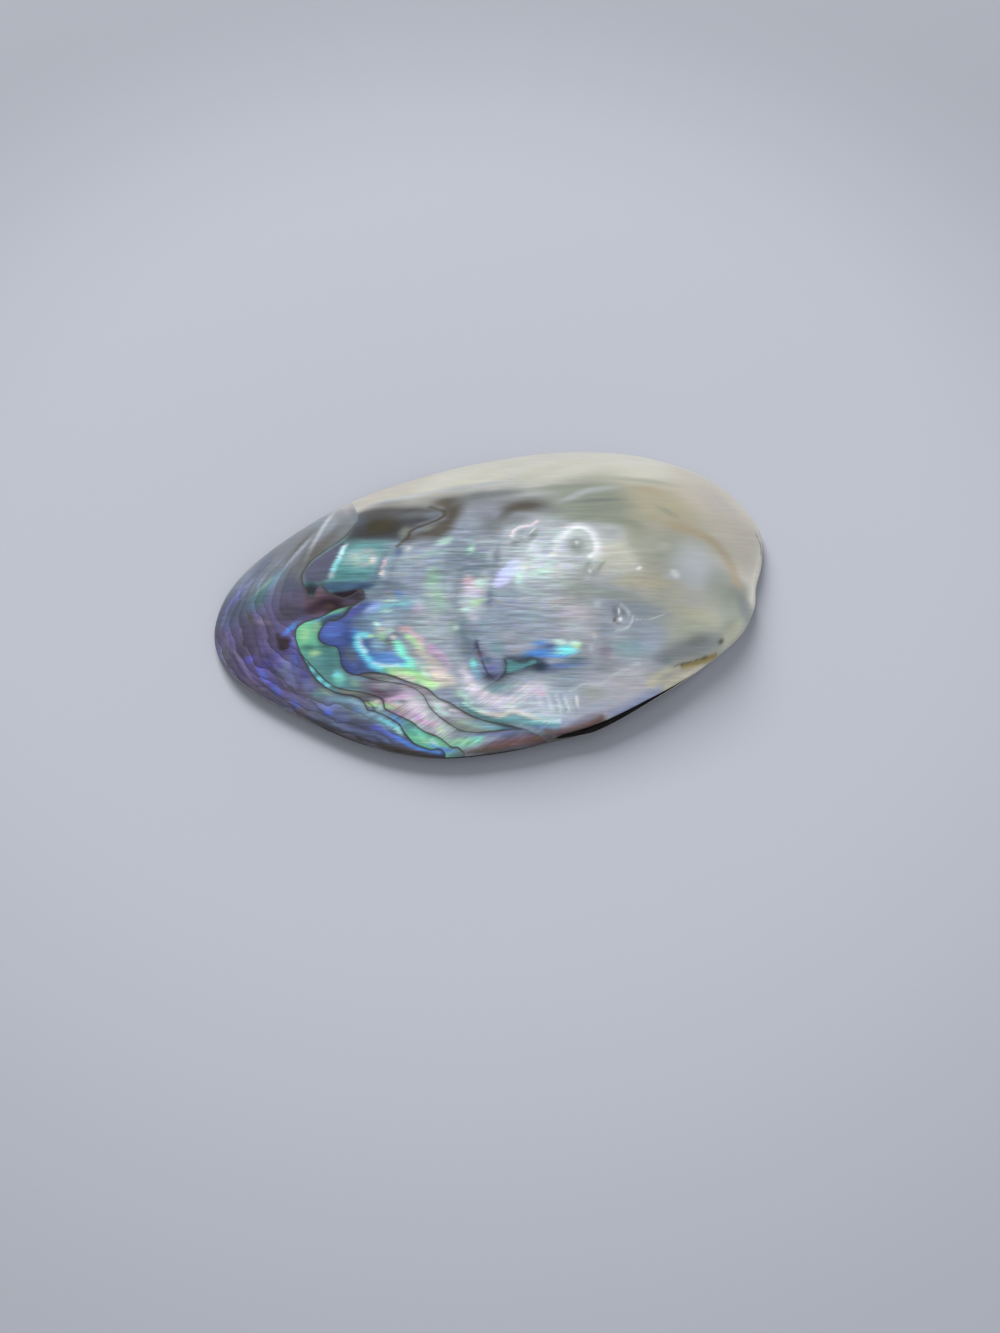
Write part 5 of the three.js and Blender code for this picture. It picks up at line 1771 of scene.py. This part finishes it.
def with_grain(tree, colour, mixed, brush):
    """Shifts and lightens the colour along the streaks, as far as the brush reached; the wide streaks are
    painted sheen.
    """
    amount = calc(tree, "MULTIPLY_ADD", brush, *FILM_AMOUNT)
    colour = use_group(tree, pearl_play, Colour=colour, Phase=mixed["Slow"], Amount=amount)["Colour"]
    flames = use_group(tree, streaks, Turn=BRUSH_TURN, Rows_per_metre=900.0, Stretch=4.0)
    colour = use_group(tree, pearl_play, Colour=colour, Phase=flames["Coarse"], Amount=amount)["Colour"]
    lighter = ramp_between(tree, mixed["Coarse"], 0.3, 0.7, *COARSE_LIGHT)
    finer = ramp_between(tree, mixed["Fine"], 0.3, 0.7, *FINE_LIGHT)
    wide_sheen = ramp_between(tree, flames["Fine"], 0.3, 0.7, *WIDE_SHEEN)
    light = times(tree, times(tree, lighter, finer), wide_sheen)
    grey = add_node(tree, "ShaderNodeCombineColor", {0: light, 1: light, 2: light}).outputs[0]
    grained = calc(tree, "MULTIPLY_ADD", brush, *GRAIN_AMOUNT)
    return blend(tree, grained, colour, blend(tree, 1.0, colour, grey, "MULTIPLY"))


print("grain lightens up to", round(COARSE_LIGHT[1] * FINE_LIGHT[1] * WIDE_SHEEN[1], 2), "times")

# %% Polished nacre
SHADE_STRENGTH = 0.55
LINE_STRENGTH = 0.75
SCRATCH_AND_GLINT_STRENGTH = 0.5
SCRATCH_AND_GLINT_TONE = (0.75, 0.76, 0.72)
BRUSHED_ROUGHNESS = (0.14, 0.3)
LINE_ROUGHNESS = 0.2
LINE_DEPTH = 2.0


def make_polished_nacre():
    material, tree, shader = new_material("polished_nacre")
    brush, hatch = kept(tree, "brush"), kept(tree, "hatch")
    level = use_group(tree, streaks, Turn=BRUSH_TURN, Rows_per_metre=2400.0, Stretch=26.0)
    slanted = use_group(tree, streaks, Turn=HATCH_TURN, Rows_per_metre=2400.0, Stretch=18.0)
    mixed = {}
    for label, _ in STREAK_KINDS:
        sockets = {0: hatch, 2: level[label], 3: slanted[label]}
        mixed[label] = add_node(tree, "ShaderNodeMix", sockets, data_type="FLOAT").outputs[0]
    brushed = ramp_between(tree, mixed["Fine"], 0.4, 0.6)

    colour, line, shade, polished_off = stacked_layers(tree, brushed)
    colour, line = with_terraces(tree, colour, line, polished_off)
    colour = with_grain(tree, colour, mixed, brush)
    shaded = blend(tree, 1.0, colour, EDGE_SHADE_TONE, "MULTIPLY")
    colour = blend(tree, times(tree, shade, SHADE_STRENGTH), colour, shaded)
    colour = blend(tree, times(tree, line, LINE_STRENGTH), colour, EDGE_TONE)
    scratch_and_glint = use_group(tree, cut_edge, Gap=kept(tree, "scratch_and_glint_gap"), Width=0.16, Halo=0.7)
    colour = blend(tree, times(tree, scratch_and_glint["Line"], SCRATCH_AND_GLINT_STRENGTH), colour, SCRATCH_AND_GLINT_TONE)
    tree.links.new(colour, shader.inputs["Base Color"])

    rough = calc(tree, "MULTIPLY_ADD", times(tree, mixed["Coarse"], brush), *BRUSHED_ROUGHNESS)
    rough = calc(tree, "ADD", rough, times(tree, line, LINE_ROUGHNESS))
    tree.links.new(rough, shader.inputs["Roughness"])
    scratches = times(tree, calc(tree, "ADD", mixed["Fine"], mixed["Coarse"]), brush)
    relief = calc(tree, "SUBTRACT", scratches, times(tree, line, LINE_DEPTH))
    bump = add_node(tree, "ShaderNodeBump", {"Height": relief, "Strength": 0.35, "Distance": 0.00006})
    tree.links.new(bump.outputs[0], shader.inputs["Normal"])
    shader.inputs["Specular IOR Level"].default_value = 0.35
    shader.inputs["Coat Weight"].default_value = 0.1
    shader.inputs["Coat Roughness"].default_value = 0.15
    return material


# %% [markdown]
# ## The inside and the lip
# The inside was never polished: it is silvery nacre that the animal laid down, smooth, with
# a soft play of colour that grows towards the lip, and a dull dark border at the rim, which
# is painted near black on the left part of the rim as shadow under the edge.

# %% Inner nacre
# the rim's own dark border, deepened to near black as painted shadow under the edge; pale towards the beak
BORDER_AND_SHADOW_TONE = (0.014, 0.012, 0.012)
PALE_BORDER = (0.62, 0.60, 0.55)
LIP_TONE = (0.42, 0.40, 0.36)
BORDER_CHANGE = (0.004, 0.024)
PEARL_TONES = [
    (0.0, (0.60, 0.62, 0.66)), (0.25, (0.66, 0.60, 0.66)), (0.45, (0.56, 0.66, 0.64)),
    (0.7, (0.58, 0.62, 0.72)), (1.0, (0.68, 0.66, 0.62)),
]


def make_inner_nacre():
    material, tree, shader = new_material("inner_nacre")
    under = kept(tree, "under")
    place = add_node(tree, "ShaderNodeTexCoord").outputs["Object"]
    cloud = noise_of(tree, place, 34.0, 3.0)
    wave = calc(tree, "MULTIPLY_ADD", under, 1.7, cloud)
    phase = calc(tree, "PINGPONG", wave, 1.0)
    pearl = colour_ramp(tree, phase, PEARL_TONES)
    play = use_group(tree, pearl_play, Colour=pearl, Phase=cloud, Amount=0.6)["Colour"]
    edge = calc(tree, "ADD", under, ramp_between(tree, cloud, 0.3, 0.7, -0.08, 0.08))
    colour = blend(tree, ramp_between(tree, edge, 0.25, 0.55), LIP_TONE, play)
    along = add_node(tree, "ShaderNodeSeparateXYZ", {0: place}).outputs["X"]
    border = blend(tree, ramp_between(tree, along, *BORDER_CHANGE), BORDER_AND_SHADOW_TONE, PALE_BORDER)
    colour = blend(tree, ramp_between(tree, edge, 0.05, 0.24), border, colour)
    tree.links.new(colour, shader.inputs["Base Color"])
    tree.links.new(ramp_between(tree, edge, 0.1, 0.6, 0.6, 0.26), shader.inputs["Roughness"])
    grain = noise_of(tree, place, 420.0, 4.0)
    bump = add_node(tree, "ShaderNodeBump", {"Height": grain, "Strength": 0.25, "Distance": 0.0002})
    tree.links.new(bump.outputs[0], shader.inputs["Normal"])
    shader.inputs["Coat Weight"].default_value = 0.1
    shader.inputs["Coat Roughness"].default_value = 0.15
    return material


# %% Finish the valve
def add_piece(name, bm, materials, node):
    mesh = bpy.data.meshes.new(name)
    bm.to_mesh(mesh)
    bm.free()
    for polygon in mesh.polygons:
        polygon.use_smooth = True
    for material in materials:
        mesh.materials.append(material)
    piece = bpy.data.objects.new(name, mesh)
    bpy.context.scene.collection.objects.link(piece)
    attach(piece, "root")
    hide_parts(node)
    return piece


valve = add_piece("polished_valve", bm, [make_polished_nacre(), make_inner_nacre()], "valve")
paint_valve(valve.data)
print("attributes kept on the valve:", len(valve.data.attributes))

# %% [markdown]
# ## The ligament
# A dried black strip of ligament still sticks to the hinge side. It swells quickly from a
# ragged end and thins out towards the beak. A circle is extruded along the groove, one
# ring at a time, and its surface is roughened by fine fibres that run along it.

# %% Ligament shape
LIGAMENT_ENDS = (5.4, 45.0)
LIGAMENT_HALF = (0.8, 0.58)
LIGAMENT_INSET = 0.25
LIGAMENT_RISE = (1.42, 1.75)
LIGAMENT_ROWS = 90
LIGAMENT_SIDES = 20
ROW_SPREAD = 1.15
FIRST_ROW = 0.003
LAST_ROW = 0.998
THICKEST = 0.25
END_GIRTH = 0.62
LEAST_GIRTH = 0.01
TAPER_POWER = 1.1
RAGGED_DEPTH = 0.15

hinge = rim[rim[:, 1] < 0]
hinge = hinge[np.argsort(hinge[:, 0])]
hinge_run = np.concatenate([[0], np.cumsum(np.linalg.norm(np.diff(hinge, axis=0), axis=1))])
run_ends = np.interp(LIGAMENT_ENDS, hinge[:, 0], hinge_run)


def ligament_ring(along, angles):
    """Points round the strip, a share along of its run; its broken end is ragged."""
    run = run_ends[0] + (run_ends[1] - run_ends[0]) * along
    x, y = np.interp(run, hinge_run, hinge[:, 0]), np.interp(run, hinge_run, hinge[:, 1])
    bearing = math.atan2(y - CREST[1], x - CREST[0])
    swell = END_GIRTH + (1 - END_GIRTH) * float(smoothstep(along, 0.05, THICKEST))
    taper = (1 - max(0.0, along - THICKEST) / (1 - THICKEST)) ** TAPER_POWER
    girth = min(1.0, along * 14) ** 0.5 * swell * taper + LEAST_GIRTH
    ragged = 1 + RAGGED_DEPTH * np.sin(angles * 3 + 60 * along) * math.exp(-along * 9)
    deep = float(groove_at(bearing))
    inward = LIGAMENT_INSET * deep - LIGAMENT_HALF[0] * girth * ragged * np.cos(angles)
    rise = LIGAMENT_RISE[0] + (LIGAMENT_RISE[1] - LIGAMENT_RISE[0]) * deep
    z = float(lift_at(bearing)) + rise - LIGAMENT_HALF[1] * girth * ragged * np.sin(angles)
    plan = inset(np.full(len(angles), bearing), inward)
    return np.column_stack([plan, z]) * MM


def place_ring(points, along):
    for v, spot in zip(points, ligament_ring(along, np.array([v[angle_layer] for v in points]))):
        v.co = spot


bm = bmesh.new()
bmesh.ops.create_circle(bm, segments=LIGAMENT_SIDES, radius=1.0)
angle_layer = bm.verts.layers.float.new("angle")
for v in bm.verts:
    v[angle_layer] = math.atan2(v.co.y, v.co.x)
edges = bm.edges[:]
place_ring(bm.verts, FIRST_ROW)
bmesh.ops.contextual_create(bm, geom=edges)
for k in range(1, LIGAMENT_ROWS + 1):
    grown = bmesh.ops.extrude_edge_only(bm, edges=edges)["geom"]
    ring = [e for e in grown if isinstance(e, bmesh.types.BMVert)]
    place_ring(ring, min(LAST_ROW, (k / LIGAMENT_ROWS) ** ROW_SPREAD))
    new = set(ring)
    edges = [e for e in grown if isinstance(e, bmesh.types.BMEdge) and set(e.verts) <= new]
bmesh.ops.contextual_create(bm, geom=edges)
bmesh.ops.recalc_face_normals(bm, faces=bm.faces[:])
print("ligament:", len(bm.faces), "faces, open edges:", sum(e.is_boundary for e in bm.edges))

# %% Dried ligament
FIBRE_TURN = math.radians(24)
FIBRE_TONES = ((0.003, 0.003, 0.003), (0.014, 0.010, 0.008))


def make_dried_ligament():
    material, tree, shader = new_material("dried_ligament")
    fibres = use_group(tree, streaks, Turn=FIBRE_TURN, Rows_per_metre=2600.0, Stretch=16.0)
    colour = blend(tree, ramp_between(tree, fibres["Coarse"], 0.45, 0.7), *FIBRE_TONES)
    tree.links.new(colour, shader.inputs["Base Color"])
    tree.links.new(ramp_between(tree, fibres["Fine"], 0.3, 0.7, 0.5, 0.75), shader.inputs["Roughness"])
    shader.inputs["Specular IOR Level"].default_value = 0.2
    sockets = {"Height": fibres["Coarse"], "Strength": 0.5, "Distance": 0.0002}
    bump = add_node(tree, "ShaderNodeBump", sockets)
    tree.links.new(bump.outputs[0], shader.inputs["Normal"])
    return material


add_piece("dried_ligament", bm, [make_dried_ligament()], "ligament")
